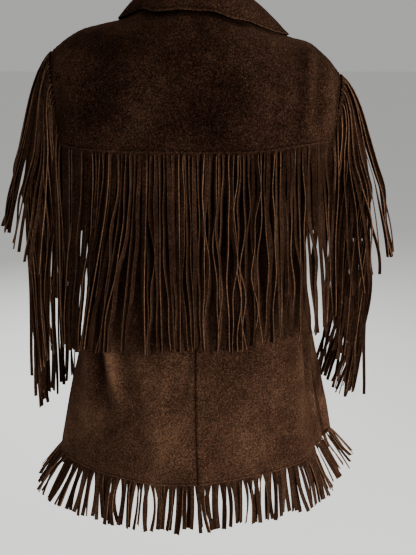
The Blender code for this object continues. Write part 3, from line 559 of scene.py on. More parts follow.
def undulation(u, v):
    """The hide's own slight unevenness, in metres."""
    return (0.00035 * np.sin(61.0 * u + 17.0 * v + 0.6) * np.sin(43.0 * v - 9.0 * u)
            + 0.00025 * np.sin(117.0 * u - 71.0 * v + 1.9) + 0.00020 * np.sin(96.0 * v + 133.0 * u)
            + 0.00012 * np.sin(241.0 * u + 190.0 * v) * np.sin(173.0 * v - 88.0 * u + 2.2))


PUCKER_LENGTH = 0.0105      # from one pucker to the next along a seam, in metres


def seam_form(distance, along, kind, phase):
    """Height of the cloth beside an edge: turned in at a seam, padded and pressed by stitches."""
    if kind == "plain":
        return -0.0006 * bell(distance, 0.0010)
    pucker = np.sin(2.0 * math.pi * along / PUCKER_LENGTH + phase
                    + 1.3 * np.sin(along * 71.0 + phase))
    height = -0.0011 * bell(distance, 0.0013) + 0.00018 * pucker * bell(distance, 0.0080)
    if kind == "turned":
        return height + 0.0004 * bell(distance - 0.0040, 0.0030)
    groove = EDGE_STEPS[STITCH_LINE]
    return (height + 0.0006 * bell(distance - 0.0028, 0.0018)
            - 0.0007 * bell(distance - groove, 0.0011) + 0.0002 * bell(distance - 0.0082, 0.0020))


def seams(grid, edges, phase):
    """Heights beside all four edges of a grid. edges: kinds for start, end, top and foot."""
    away = edge_distances(grid)
    height = np.zeros(grid.shape[:2])
    for number, (edge, kind) in enumerate(zip(("start", "end", "top", "foot"), edges)):
        along = away["top"] if edge in ("start", "end") else away["start"]
        if kind:
            height += seam_form(away[edge], along, kind, phase + 1.7 * number)
    return height


# ------------------------------------------------------------------ making meshes
SHARP_ANGLE = math.radians(50.0)


def new_object(name, points, faces, materials, indices=None, tone=None):
    """A closed, smooth-shaded mesh object, faces outwards, sharp where faces turn quickly."""
    mesh = bpy.data.meshes.new(name)
    mesh.from_pydata(np.asarray(points).reshape(-1, 3).tolist(), [], faces)
    for material in materials:
        mesh.materials.append(material)
    if indices is not None:
        mesh.polygons.foreach_set("material_index", np.asarray(indices, dtype=np.int32))
    mesh.polygons.foreach_set("use_smooth", np.ones(len(mesh.polygons), dtype=bool))
    if tone is not None:
        layer = mesh.attributes.new("tone", "FLOAT", "POINT")
        layer.data.foreach_set("value", np.asarray(tone, dtype=np.float32).ravel())
    mesh.update()
    work = bmesh.new()
    work.from_mesh(mesh)
    bmesh.ops.recalc_face_normals(work, faces=work.faces)
    work.to_mesh(mesh)
    work.free()
    mesh.set_sharp_from_angle(angle=SHARP_ANGLE)
    thing = bpy.data.objects.new(name, mesh)
    bpy.context.scene.collection.objects.link(thing)
    return thing


def shell(name, inner, outer, tone):
    """One closed piece of cloth between an inner and an outer grid of points."""
    rows, columns = inner.shape[:2]
    index = np.arange(rows * columns).reshape(rows, columns)
    a, b = index[:-1, :-1].ravel(), index[:-1, 1:].ravel()
    d, e = index[1:, :-1].ravel(), index[1:, 1:].ravel()
    shift = rows * columns
    faces = np.stack([a, b, e, d], axis=1).tolist()
    faces += (np.stack([a, d, e, b], axis=1) + shift).tolist()
    rim = np.concatenate([index[0], index[1:, -1], index[-1, -2::-1], index[-2:0:-1, 0]]).tolist()
    faces += [[p, p + shift, q + shift, q] for p, q in zip(rim, rim[1:] + rim[:1])]
    points = np.concatenate([inner.reshape(-1, 3), outer.reshape(-1, 3)])
    indices = [0] * (2 * a.size) + [1] * len(rim)
    return new_object(name, points, faces, [SUEDE, EDGE], indices,
                      np.concatenate([tone.ravel(), tone.ravel()]))


class Ribbons:
    """Many flat strands gathered into one mesh: broad faces of suede, narrow cut edges."""

    def __init__(self):
        self.points, self.faces, self.indices, self.tone = [], [], [], []

    def add(self, path, across, outward, twist, width, tone):
        """path: points; across, outward: directions; twist: radians."""
        tangent = unit(np.gradient(path, axis=0))
        outward = unit(outward - tangent * (outward * tangent).sum(axis=1, keepdims=True))
        level = unit(np.cross(tangent, outward))
        level = level * np.sign((level * across).sum(axis=1, keepdims=True) + 1e-9)
        cosine, sine = np.cos(twist)[:, None], np.sin(twist)[:, None]
        side = (level * cosine + outward * sine) * (width / 2.0)
        up = (outward * cosine - level * sine) * (STRAND_THICK / 2.0)
        self.add_bar(np.stack([path + up - side, path + up + side, path - up + side,
                               path - up - side], axis=1), (0, 1, 0, 1), tone)

    def add_bar(self, corners, sides=(0, 0, 0, 0), tone=0.0):
        """A bar, such as the strip that strands are cut from, through rings of four corners.
        sides: the material of each of its four long faces."""
        first = sum(len(block) for block in self.points)
        self.points.append(corners.reshape(-1, 3))
        last = first + 4 * (len(corners) - 1)
        for base in range(first, last, 4):
            for k in range(4):
                j = (k + 1) % 4
                self.faces.append([base + k, base + j, base + 4 + j, base + 4 + k])
            self.indices += sides
        self.faces += [[first + 3, first + 2, first + 1, first], [last + k for k in range(4)]]
        self.indices += [1, 1]
        self.tone.append(np.full(4 * len(corners), tone))

    def build(self, name):
        return new_object(name + "_strands", np.concatenate(self.points), self.faces,
                          [FRINGE, EDGE], self.indices, np.concatenate(self.tone))


STITCH_PITCH = 0.0038
STITCH_LENGTH = 0.0031
STITCH_THICK = 0.0007
STITCH_SINK = 0.0003        # how deep a stitch's ends go in
STITCH_SWELLS = (0.6, 1.0, 0.6)     # how thick a stitch is at its three rings of five points


def stitches(name, lines):
    """Stitches along lines of points, each line with its outward directions."""
    points, faces = [], []
    for line, outward in lines:
        length = reach(line)
        for number in range(int(length[-1] / STITCH_PITCH)):
            low = (number + 0.10) * STITCH_PITCH
            high = low + STITCH_LENGTH
            spots = read(line, length, np.array([low, low + 0.1 * STITCH_LENGTH, (low + high) / 2.0,
                                                 high - 0.1 * STITCH_LENGTH, high]))
            out = unit(read(outward, length, (low + high) / 2.0))
            side = np.cross(unit(spots[-1] - spots[0]), out)
            first = len(points)
            points.append(spots[0] - out * STITCH_SINK)
            for spot, swell in zip(spots[1:4], STITCH_SWELLS):
                centre = spot + out * STITCH_THICK * (0.35 * swell - 0.05)
                for turn in range(5):
                    angle = 2.0 * math.pi * turn / 5.0
                    points.append(centre + (side * math.cos(angle) + out * math.sin(angle))
                                  * STITCH_THICK / 2.0 * swell)
            points.append(spots[-1] - out * STITCH_SINK)
            last = first + 16
            for k in range(5):
                j = (k + 1) % 5
                faces.append([first, first + 1 + j, first + 1 + k])
                for base in (first + 1, first + 6):
                    faces.append([base + k, base + j, base + 5 + j, base + 5 + k])
                faces.append([last, first + 11 + k, first + 11 + j])
    return new_object(name, points, faces, [THREAD])


# ------------------------------------------------------------------ materials
def node(tree, kind, place, **values):
    made = tree.nodes.new(kind)
    made.location = place
    for key, value in values.items():
        if key in made.inputs:
            made.inputs[key].default_value = value
        else:
            setattr(made, key, value)
    return made


def noise(tree, coordinates, place, scale, detail, roughness):
    made = node(tree, "ShaderNodeTexNoise", place)
    made.inputs["Scale"].default_value = scale
    made.inputs["Detail"].default_value = detail
    made.inputs["Roughness"].default_value = roughness
    tree.links.new(coordinates, made.inputs["Vector"])
    return made.outputs["Fac"]


def calculate(tree, operation, place, first, second, third=None):
    made = node(tree, "ShaderNodeMath", place, operation=operation)
    for socket, value in zip(made.inputs, (first, second, third)):
        if value is None:
            continue
        if isinstance(value, (int, float)):
            socket.default_value = value
        else:
            tree.links.new(value, socket)
    return made.outputs[0]


Nap = namedtuple("Nap", "scale detail roughness share")
# patches, mottling, grain and fibres, from broad to fine
NAP = rows_of(Nap,
    (11.0, 2.0, 0.5, 0.45),
    (60.0, 3.0, 0.55, 0.24),
    (390.0, 3.0, 0.75, 1.30),
    (900.0, 3.0, 0.75, 1.15),
)
STOPS = (0.18, 0.46, 0.70, 0.98)    # where the ramp has a look's four colours
Suede = namedtuple("Suede", "dark middle light speck bump sheen")
PANEL = Suede((0.0022, 0.0010, 0.0007), (0.0125, 0.0057, 0.0036), (0.038, 0.0190, 0.0117),
              (0.099, 0.052, 0.0295), 0.60, 0.05)
STRAND_FACE = Suede((0.0030, 0.0013, 0.0007), (0.0135, 0.0063, 0.0038), (0.031, 0.0158, 0.0100),
                    (0.066, 0.035, 0.020), 0.40, 0.05)
CUT_EDGE = Suede((0.034, 0.017, 0.010), (0.078, 0.041, 0.024), (0.140, 0.079, 0.047),
                 (0.21, 0.128, 0.080), 0.30, 0.05)


def suede(name, look):
    """Napped suede: patches where the nap lies differently, mottling, and a coarse grain."""
    material = bpy.data.materials.new(name)
    material.use_nodes = True
    tree = material.node_tree
    shader = tree.nodes["Principled BSDF"]
    place = node(tree, "ShaderNodeTexCoord", (-1500, 0)).outputs["Object"]
    value = node(tree, "ShaderNodeAttribute", (-1250, 650), attribute_name="tone").outputs["Fac"]
    fields = []
    for number, nap in enumerate(NAP):
        fields.append(noise(tree, place, (-1250, 400 - 250 * number), *nap[:3]))
        value = calculate(tree, "MULTIPLY_ADD", (-1000 + 150 * number, 400 - 100 * number),
                          fields[-1], nap.share, value)
    value = calculate(tree, "SUBTRACT", (-400, 100), value, 1.12)
    ramp = node(tree, "ShaderNodeValToRGB", (-250, 200))
    stops = ramp.color_ramp.elements
    stops[0].position, stops[0].color = STOPS[0], (*look.dark, 1.0)
    stops[1].position, stops[1].color = STOPS[3], (*look.speck, 1.0)
    for position, colour in zip(STOPS[1:3], (look.middle, look.light)):
        stops.new(position).color = (*colour, 1.0)
    tree.links.new(value, ramp.inputs["Fac"])
    tree.links.new(ramp.outputs["Color"], shader.inputs["Base Color"])
    height = calculate(tree, "MULTIPLY_ADD", (-700, -250), fields[2], 1.0, fields[3])
    bump = node(tree, "ShaderNodeBump", (-300, -250), Strength=look.bump, Distance=0.0009)
    tree.links.new(height, bump.inputs["Height"])
    tree.links.new(bump.outputs["Normal"], shader.inputs["Normal"])
    shader.inputs["Roughness"].default_value = 0.93
    shader.inputs["Specular IOR Level"].default_value = 0.0
    shader.inputs["Sheen Weight"].default_value = look.sheen
    shader.inputs["Sheen Roughness"].default_value = 0.42
    shader.inputs["Sheen Tint"].default_value = (0.62, 0.36, 0.21, 1.0)
    return material


def plain(name, colour, roughness):
    material = bpy.data.materials.new(name)
    material.use_nodes = True
    tree = material.node_tree
    shader = tree.nodes["Principled BSDF"]
    place = node(tree, "ShaderNodeTexCoord", (-900, 0)).outputs["Object"]
    ramp = node(tree, "ShaderNodeValToRGB", (-400, 100))
    ramp.color_ramp.elements[0].color = (*[c * 0.8 for c in colour], 1.0)
    ramp.color_ramp.elements[1].color = (*[min(c * 1.2, 1.0) for c in colour], 1.0)
    tree.links.new(noise(tree, place, (-650, 100), 900.0, 2.0, 0.5), ramp.inputs["Fac"])
    tree.links.new(ramp.outputs["Color"], shader.inputs["Base Color"])
    shader.inputs["Roughness"].default_value = roughness
    shader.inputs["Specular IOR Level"].default_value = 0.05
    return material


SUEDE = suede("suede", PANEL)
EDGE = suede("suede_cut_edge", CUT_EDGE)
FRINGE = suede("suede_fringe", STRAND_FACE)
THREAD = plain("thread", (0.0110, 0.0050, 0.0028), 0.85)

# ------------------------------------------------------------------ panels of the body
Patch = namedtuple("Patch", "around z radius tone")
# where the nap lies lighter or darker, and three small painted highlights along the lower left
# ridge's crest
PATCHES = rows_of(Patch,
    (-0.62, -0.030, 0.060, 0.090),
    (-1.10, -0.740, 0.060, -0.100),
    (-0.86, -0.080, 0.035, 0.060),
    (-0.30, 0.000, 0.040, 0.035),
    (-0.10, -0.140, 0.040, -0.070),
    (-0.45, -0.130, 0.030, -0.030),
    (0.62, -0.010, 0.040, -0.060),
    (0.30, -0.020, 0.045, 0.030),
    (0.46, -0.120, 0.055, -0.030),
    (0.86, -0.060, 0.030, 0.030),
    (0.05, -0.060, 0.050, 0.020),
    (0.70, -0.640, 0.050, 0.045),
    # painted highlight along the crest of the lower left ridge
    (0.525, -0.465, 0.012, 0.080),
    (0.475, -0.500, 0.012, 0.100),
    (0.445, -0.535, 0.010, 0.100),
    (0.64, -0.605, 0.040, 0.050),
    (-0.40, -0.520, 0.070, -0.030),
    (-0.70, -0.600, 0.060, 0.030),
    (0.20, -0.600, 0.060, 0.010),
)


LOWER_PAINTED_LIGHT = 0.19           # painted light: the lower part is coloured lighter, from this height down
LOWER_START, LOWER_RUN = -0.36, 0.14
FRINGE_SHADE_TONE = -0.16        # painted shade: the back is coloured darker where the yoke's fringe hangs over it
FRINGE_SHADE_FOOT, FRINGE_SHADE_RUN = -0.37, 0.06
# painted shadow under the collar's lower edge: how much darker, and how far it spreads
COLLAR_SHADOW_TONE, COLLAR_SHADOW_WIDTH = -0.34, 0.0065


def nap_and_painted_light(around, z):
    # nap patches, with painted light: the lower part lighter and highlights along the lower left
    # ridge
    tone = LOWER_PAINTED_LIGHT * ease((LOWER_START - z) / LOWER_RUN)
    for patch in PATCHES:
        away = np.hypot((around - patch.around) * METRES_AROUND, z - patch.z)
        tone += patch.tone * bell(away, patch.radius)
    return tone


Panel = namedtuple("Panel", "thing inner outer normals")
STRONG_CREASE = 0.0030      # creases higher than this, in metres, change the painted shade and highlight faster
CREASE_SHADE_RATE, STRONG_SHADE_RATE = 16.0, 18.0       # painted shade in a crease's hollow and painted highlight on its ridge, for each metre of height
PAINTED_CREASE_LIMITS = (-0.30, 0.14)


def dress(name, base, normals, shape, edges, phase, tone, lift=0.0):
    """A panel's closed shell from its surface, its creases and the kinds of its edges."""
    relief = seams(base, edges, phase)
    inner = base + normals * (shape + lift)[..., None]
    outer = base + normals * (shape + lift + CLOTH + relief)[..., None]
    # painted shade in the creases' hollows and painted highlight on their ridges
    strong = np.sign(shape) * np.maximum(np.abs(shape) - STRONG_CREASE, 0.0)
    folded = np.clip(CREASE_SHADE_RATE * shape + STRONG_SHADE_RATE * strong, *PAINTED_CREASE_LIMITS)
    tone = tone + folded + worn_edges(base, edges)
    return Panel(shell(name, inner, outer, tone), inner, outer, normals)


Mark = namedtuple("Mark", "place width tone")
SEAM_MARK = Mark(0.0, 0.0024, -0.16)
FOLD_MARK = Mark(0.0010, 0.0018, 0.10)
GROOVE_MARK = Mark(EDGE_STEPS[STITCH_LINE], 0.0014, -0.10)


def worn_edges(base, edges):
    """Seams lie darker; a stitched edge is worn lighter on its fold and darker in its groove."""
    away = edge_distances(base)
    tone = np.zeros(base.shape[:2])
    for edge, kind in zip(("start", "end", "top", "foot"), edges):
        distance = away[edge]
        if kind == "turned":
            tone += SEAM_MARK.tone * bell(distance - SEAM_MARK.place, SEAM_MARK.width)
        elif kind == "stitched":
            for mark in (FOLD_MARK, GROOVE_MARK):
                tone += mark.tone * bell(distance - mark.place, mark.width)
    return tone


ALLOWANCE_PLACES = (6, 3, 0)    # the edge's columns that a seam's allowance lies under
ALLOWANCE_COUNT = 240
ALLOWANCE_THICK = 0.0010
ALLOWANCE_TONE = -0.1


def resampled(line, values):
    """Values beside a line of points, read again at even distances along it."""
    length = reach(line)
    return read(values, length, np.linspace(0.0, length[-1], ALLOWANCE_COUNT))


def band(name, grid, outward):
    """A narrow piece of suede just inside a grid of inner points."""
    high = grid - outward * LAP
    low = grid - outward * (LAP + ALLOWANCE_THICK)
    return shell(name, low, high, np.full(grid.shape[:2], ALLOWANCE_TONE))


def allowance(name, first, second):
    """The pressed-open seam allowance behind a seam, from lines of points beside both edges.

    first and second hold lines of inner points and their outward directions, away from
    the seam to the seam and on from it."""
    grid = [resampled(points, points) for points, _ in first + second]
    outward = [unit(resampled(points, out)) for points, out in first + second]
    return band(name, np.array(grid).transpose(1, 0, 2), np.array(outward).transpose(1, 0, 2))


def beside(panel, columns, rows=slice(None)):
    """Lines of a panel's inner points, and their directions, at some of its columns."""
    return [(panel.inner[rows, column], panel.normals[rows, column]) for column in columns]


def body_base(face, side, share, level, creases):
    """Surface, directions out of it, and the height of the folds and creases on it."""
    points = body(face, side, share, level)
    normals = body_normals(face, side, share, level)
    points = points + normals * fold_depth(face, side, share, points[..., 2])[..., None]
    around = side * (share if face > 0 else 2.0 - share)
    shape = crease_depth(creases, around, points[..., 2])
    shape = shape + undulation(around * METRES_AROUND, points[..., 2])
    return points, normals, shape, around


def fade_at_edges(base, shape, edges, reach_in):
    """Creases die away towards the edges named."""
    away = edge_distances(base)
    for edge in edges:
        shape = shape * ease(away[edge] / reach_in)
    return shape


def collar_rim():
    """Where the collar's lower edge lies over the body."""
    line = []
    for side, table in ((1, COLLAR_EDGE_LEFT), (-1, COLLAR_EDGE_RIGHT)):
        for place in np.linspace(0.0, 1.0, 80):
            share = float(smooth(table, "place", "share", place))
            level = float(smooth(table, "place", "level", place))
            line.append(body(1 if place <= NECK_POINT_PLACE else -1, side, share, level))
    return np.array(line)


def painted_collar_shadow(points):
    """Painted shadow: the cloth is coloured darker just under the collar's lower edge."""
    away = np.linalg.norm(points[..., None, :] - collar_rim(), axis=-1).min(axis=-1)
    return COLLAR_SHADOW_TONE * bell(away, COLLAR_SHADOW_WIDTH)


def make_yoke():
    levels = row_levels(1, 1, 0.5, np.linspace(0.0, 1.0, 200), YOKE_PITCH)
    start, end = YOKE_LIFT_LEVELS
    lift = ease((levels - start) / (end - start)) * (CLOTH + LAP + STRIP + LAP)
    clear = SEAM + YOKE_EDGE_EASE * lift
    left = half_panel(1, 1, 0.0, levels, YOKE_PITCH, (0.0, clear), crowd_start=False)
    right = half_panel(1, -1, 0.0, levels, YOKE_PITCH, (0.0, clear), crowd_start=False)
    share = np.concatenate([left[:, ::-1], right[:, 1:]], axis=1)
    side = np.concatenate([np.ones(left.shape), -np.ones(right[:, 1:].shape)], axis=1)
    level = levels[:, None] * (1.0 - risen(side, share))
    points, normals, shape, around = body_base(1, side, share, level, BACK_CREASES)
    lap = np.clip((levels - end) / (1.0 - end), 0.0, 1.0)
    points = points - UP * (YOKE_LAP * lap)[:, None, None]
    points[0] -= UP * SEAM / 2.0
    shape = fade_at_edges(points, shape, ("start", "end", "top", "foot"), 0.012)
    return dress("back_yoke_suede", points, normals, shape, ("stitched", "stitched", "turned",
                 "stitched"), 0.3, nap_and_painted_light(around, points[..., 2]) + painted_collar_shadow(points),
                 lift[:, None])


def make_back(name, side):
    tries = np.linspace(level_at(YOKE_TUCK), 3.0, 400)
    levels = row_levels(1, side, 0.5, tries, BACK_PITCH[0], crowd_start=False)
    share = half_panel(1, side, 0.0, levels, BACK_PITCH[1], (SEAM / 2, SEAM / 2))
    sides = np.full(share.shape, float(side))
    level = levels[:, None] - risen(sides, share) * ease((1.9 - levels) / 0.9)[:, None]
    points, normals, shape, around = body_base(1, sides, share, level, BACK_CREASES)
    shape = fade_at_edges(points, shape, ("start", "end"), 0.010)
    seam_z = YOKE_SEAM_Z + seam_rise(sides, points[..., 0])
    shape = shape * ease((seam_z - 0.004 - points[..., 2]) / 0.012)
    # painted shade from the yoke's fringe, from a little above its tips up to the yoke
    covered = ease((points[..., 2] - FRINGE_SHADE_FOOT) / FRINGE_SHADE_RUN)
    return dress("back_" + name + "_suede", points, normals, shape,
                 ("turned", "turned", None, "stitched"), 1.1 * side,
                 nap_and_painted_light(around, points[..., 2]) + FRINGE_SHADE_TONE * covered)


def make_front(name, side):
    levels = row_levels(-1, side, 0.6, np.linspace(0.0, 3.0, 500), FRONT_PITCH[0])
    share = half_panel(-1, side, FRONT_SHARE, levels, FRONT_PITCH[1], (0.0, SEAM / 2))
    level = np.broadcast_to(levels[:, None], share.shape)
    sides = np.full(share.shape, float(side))
    points, normals, shape, around = body_base(-1, sides, share, level, FRONT_CREASES)
    shape = fade_at_edges(points, shape, ("start", "end", "top"), 0.014)
    points[0] -= UP * SEAM / 2.0
    return dress("front_" + name + "_suede", points, normals, shape,
                 ("stitched", "stitched", "turned", "stitched"), 2.3 * side,
                 nap_and_painted_light(around, points[..., 2]) + painted_collar_shadow(points))


# ------------------------------------------------------------------ collar
STAND_LEAN = {1: 0.009, -1: 0.013}    # how far the stand's top leans in to the neck, by side
LEAN_WIDTH = 0.30           # how far along the collar that lean reaches, from the neck point
STAND_HEIGHT = 0.97         # of the height in the table; at the neck point the stand is lower
SLIM_WIDTH, SLIM_DROP, SLIM_ROLL = 0.36, 0.19, 0.6      # and rolls out less


def collar_columns(side, table, places):
    """Collar points for one side, from the middle of the back to the front edge."""
    stand_rows = np.linspace(0.0, 4.0, 15)
    fall_rows = np.linspace(0.0, 1.0, 19)[1:]
    outs = smooth(STAND, "place", "out", stand_rows)
    ups = smooth(STAND, "place", "up", stand_rows)
    columns = []
    for place in places:
        slim = bell(place - NECK_POINT_PLACE, SLIM_WIDTH)
        stand, share, level = (float(smooth(table, "place", column, place))
                               for column in ("stand", "share", "level"))
        stand *= STAND_HEIGHT - SLIM_DROP * slim
        face = 1 if place <= NECK_POINT_PLACE else -1
        if face > 0:
            neck_share = NECK_SHARE * place / NECK_POINT_PLACE
        else:
            past = (place - NECK_POINT_PLACE) / (1.0 - NECK_POINT_PLACE)
            neck_share = mix(NECK_SHARE, FRONT_SHARE, past)
        foot = body(face, side, neck_share, 0.0)
        lift = body_normals(face, side, neck_share, 0.0)
        out = unit(np.array([foot[0], foot[1] - NECK_MIDDLE_Y, 0.0]))
        base = foot + lift * (CLOTH + SEAM + CLOTH / 2)
        lean = STAND_LEAN[side] * bell(place - NECK_POINT_PLACE, LEAN_WIDTH)
        column = [base + out * (row_out * (1.0 - SLIM_ROLL * slim) - lean * row_up)
                  + UP * row_up * stand for row_out, row_up in zip(outs, ups)]
        roll = column[-1]
        clear = body_normals(face, side, share, level) * FALL_CLEARANCE
        rim = body(face, side, share, level) + clear
        for run in fall_rows:
            point = mix(roll, rim, run) + unit(out + UP) * FALL_BULGE * math.sin(math.pi * run)
            under = (face, side, mix(neck_share, share, run), level * run)
            facing = body_normals(*under)
            height = float(np.dot(point - body(*under), facing))
            column.append(point + facing * max(FALL_CLEARANCE - height, 0.0))
        columns.append(column)
    return columns


COLLAR_PLACES = (0.0, 0.06, 0.13, 0.21, 0.30, 0.40, 0.50, 0.58, 0.66, 0.76, 0.88, 1.0)
COLLAR_ROWS = 44


def make_collar():
    left = collar_columns(1, COLLAR_EDGE_LEFT, COLLAR_PLACES)
    right = collar_columns(-1, COLLAR_EDGE_RIGHT, COLLAR_PLACES)
    coarse = np.array(left[::-1] + right[1:])
    keys = reach(coarse[:, -1])
    fine = curve(coarse, keys, spaced(keys[-1], COLLAR_PITCH))
    grid = []
    for column in fine:
        length = reach(column)
        crowded = length[-1] - EDGE_STEPS[::-1]
        places = np.concatenate([np.linspace(0.0, crowded[0], COLLAR_ROWS)[:-1], crowded])
        grid.append(read(column, length, places))
    grid = np.array(grid).transpose(1, 0, 2)
    for _ in range(6):
        grid[1:-1, 1:-1] = (grid[1:-1, 1:-1] * 2.0 + grid[:-2, 1:-1] + grid[2:, 1:-1]) / 4.0
    down = np.gradient(grid, axis=0)
    along = np.gradient(grid, axis=1)
    normals = unit(np.cross(along, down))
    shape = undulation(grid[..., 0] * 1.3, grid[..., 2] + grid[..., 1]) * 0.8
    return dress("collar_suede", grid - normals * CLOTH / 2, normals, shape,
                 ("stitched", "stitched", "plain", "stitched"), 0.9, np.full(shape.shape, 0.015))


# ------------------------------------------------------------------ sleeves
def sleeve_relief(rows, angles, tables):
    moved = np.zeros((len(rows), len(angles)))
    for crease in tables:
        along = (rows[:, None] - crease.along) / crease.length
        around = (angles[None, :] - crease.angle + 180.0) % 360.0 - 180.0
        moved += crease.depth * np.exp(-along ** 2 - (around / crease.spread) ** 2)
    return moved


def sleeve_patch(side, angles, rows):
    """A part of the sleeve: points with the solids' creases, and directions out of it."""
    grid = sleeve_surface(side, angles, rows)
    step = 1e-3
    down = sleeve_surface(side, angles, rows + step)
    down = down - sleeve_surface(side, angles, rows - step * (rows > step))
    across = np.gradient(grid, axis=1)
    normals = -unit(np.cross(across, down)) * side
    return grid + normals * sleeve_relief(rows, angles, CREASES)[..., None], normals


CAD_ARMHOLE_LEVELS = np.array([0.0, 0.17, 0.34, 0.52, 0.70, 0.86, 0.955, 1.0, 1.35, 1.70, 1.90,
                               2.0])


def seam_angles(side):
    """Angles of the sleeve's front and back seams, where the solids have them."""
    _, fine_angles = armhole(side)
    half = len(ARMHOLE_LEVELS) - 1
    back = np.interp(CAD_ARMHOLE_LEVELS, ARMHOLE_LEVELS, fine_angles[half:])
    front = np.interp(CAD_ARMHOLE_LEVELS, ARMHOLE_LEVELS, fine_angles[half::-1])
    return (front[np.argmin(np.abs(front - FRONT_SEAM_ANGLE))],
            back[np.argmin(np.abs(back - BACK_SEAM_ANGLE))])


DEGREES = 360.0 / 0.264     # of the sleeve's girth for each metre


def make_sleeve(name, side):
    front, back = seam_angles(side)
    ends = EDGE_STEPS / FOREARM_LENGTH
    rows = np.concatenate([EDGE_STEPS / 0.17, np.linspace(EDGE_STEPS[-1] / 0.17, 1.0, 44)[1:],
                           np.linspace(1.0, 2.0, 34)[1:], np.linspace(2.0, 3.0 - ends[-1], 42)[1:],
                           3.0 - ends[::-1][1:]])
    gap = SEAM / 2 * DEGREES
    made = []
    for part, low, high in (("top", front, back), ("under", back, front + 360.0)):
        angles = low + gap + spaced((high - low - 2 * gap) / DEGREES, SLEEVE_PITCH) * DEGREES
        points, normals = sleeve_patch(side, angles, rows)
        shape = sleeve_relief(rows, angles, SLEEVE_WRINKLES)
        shape = shape + undulation(np.radians(angles)[None, :] * 0.042, rows[:, None] * 0.2)
        shape = fade_at_edges(points, shape, ("start", "end", "top", "foot"), 0.012)
        kinds = ("turned", "turned", "turned", "stitched")
        tone = 0.02 * np.sin(3.0 * rows)[:, None] * np.cos(np.radians(angles))[None, :]
        piece = "sleeve_%s_%s_suede" % (part, name)
        made.append(dress(piece, points, normals, shape, kinds, side + (part == "top"), tone))
    return made


ARMHOLE_SPAN = (181.0, 539.0)     # round the armhole in degrees, from the underarm to itself
ARMHOLE_UNDER = 0.0060            # how far the allowance reaches in under the body's panels
ARMHOLE_ROWS = np.array([0.0, 0.022, 0.045])    # places on the sleeve that it lies under
BACK_OF_ARM = 450.0               # it reaches in up to 1.8 times as far there, at the back
BACK_SPREAD = 45.0


def armhole_allowance(name, side):
    """The armhole's seam allowance: a band inside the sleeve's top and the body's edge."""
    angles = np.linspace(*ARMHOLE_SPAN, 180)
    grid, normals = sleeve_patch(side, angles, ARMHOLE_ROWS)
    under = unit(np.cross(normals[0], np.gradient(grid[0], axis=0)))
    under = under * np.sign((under * (grid[0] - grid[1])).sum(axis=1, keepdims=True))
    width = ARMHOLE_UNDER * (1.0 + 0.8 * bell(angles - BACK_OF_ARM, BACK_SPREAD))[:, None]
    reached = grid[0] + under * width - normals[0] * CLOTH
    return band("armhole_allowance_" + name, np.concatenate([[reached], grid]),
                np.concatenate([normals[:1], normals]))


# ------------------------------------------------------------------ fringes
random = np.random.default_rng(7)
ACROSS = np.array([1.0, 0.0, 0.0])
STRAND_THICK = 0.00135
TONE_SPREAD = 0.035         # how much the strands of a fringe differ in tone
TURN = 6.28                 # nearly a whole turn, for the strands' phases
YOKE_POINTS = 150           # points along the seams that bear the strands
ARMHOLE_POINTS = 225
SLEEVE_POINTS = 320
HEM_POINTS = 120
YOKE_STRIP_TOP = 0.006      # how far the strips reach up from the seam and from the hem
HEM_STRIP_TOP = 0.009
STRIP_FOOT = 0.0004
# number: how many; width, swing, turns: ranges that each strand draws from; wander: its mean
# and spread; step: between the three layers that the strands hang in
Strands = namedtuple("Strands", "number width swing turns wander step")
YOKE_STRANDS = Strands(72, (0.0050, 0.0066), (0.10, 0.45), (0.3, 1.3), (0.0018, 0.0012), 0.0018)
ARMHOLE_STRANDS = Strands(26, (0.0044, 0.0054), (0.10, 0.4), (0.4, 1.3), (0.0015, 0.0010), 0.0012)
SLEEVE_STRANDS = Strands(46, (0.0046, 0.0058), (0.15, 0.6), (0.4, 1.3), (0.0020, 0.0015), 0.0015)
HEM_STRANDS = Strands({"back": 98, "left": 47, "right": 47}, (0.0058, 0.0072), (0.05, 0.35),
                      (0.8, 3.0), None, 0.0018)


def wave(place, slow, quick):
    return 0.6 * math.sin(slow * place + 0.7) + 0.4 * math.sin(quick * place + 2.1)


def back_surface(x, z):
    """How far behind the side seams the folded back lies, at places and heights."""
    width, depth = section(z, 1)
    power = smooth(TORSO, "z", "roundness", z)
    across = np.clip(np.abs(x - smooth(TORSO, "z", "shift", z)) / width, 0.0, 1.0)
    turned = smooth(TORSO, "z", "turn", z) * x
    share = np.arcsin(across ** (power / 2.0)) / (math.pi / 2.0)
    folds = fold_depth(1, np.sign(x), share, z)
    creases = crease_depth(BACK_CREASES, np.sign(x) * share, z)
    surface = depth * (1.0 - across ** power) ** (1.0 / power) + turned
    return surface + (folds + np.maximum(creases, 0.0)) * ease((1.0 - across) / 0.15)


Lean = namedtuple("Lean", "x middle tip longer")
# how far strands lean to the left, by where they leave the seam, and how much longer than
# the others they are
YOKE_LEANS = rows_of(Lean,
    (-0.210, -0.002, -0.012, -0.020),
    (-0.188, -0.010, -0.018, -0.014),
    (-0.144, -0.012, -0.017, -0.009),
    (-0.100, -0.004, -0.006, -0.004),
    (-0.020, 0.000, 0.000, 0.000),
    (0.050, 0.003, 0.000, 0.002),
    (0.073, 0.010, 0.010, 0.004),
    (0.089, 0.020, 0.036, 0.007),
    (0.113, 0.026, 0.046, 0.010),
    (0.134, 0.022, 0.042, 0.011),
    (0.168, 0.016, 0.028, 0.012),
    (0.210, 0.010, 0.018, 0.012),
)


def across_back(count):
    """Shares and sides of places from the left end of the back to its right end."""
    share = np.concatenate([np.linspace(1.0, 0.0, count), np.linspace(0.0, 1.0, count)[1:]])
    return share, np.concatenate([np.ones(count), -np.ones(count - 1)])


def rooted(line, normals, length, place, jitter):
    """A strand's place along its seam, moved a little, its first point and the way out."""
    place = place + random.uniform(-jitter, jitter)
    return place, read(line, length, place), unit(read(normals, length, place))


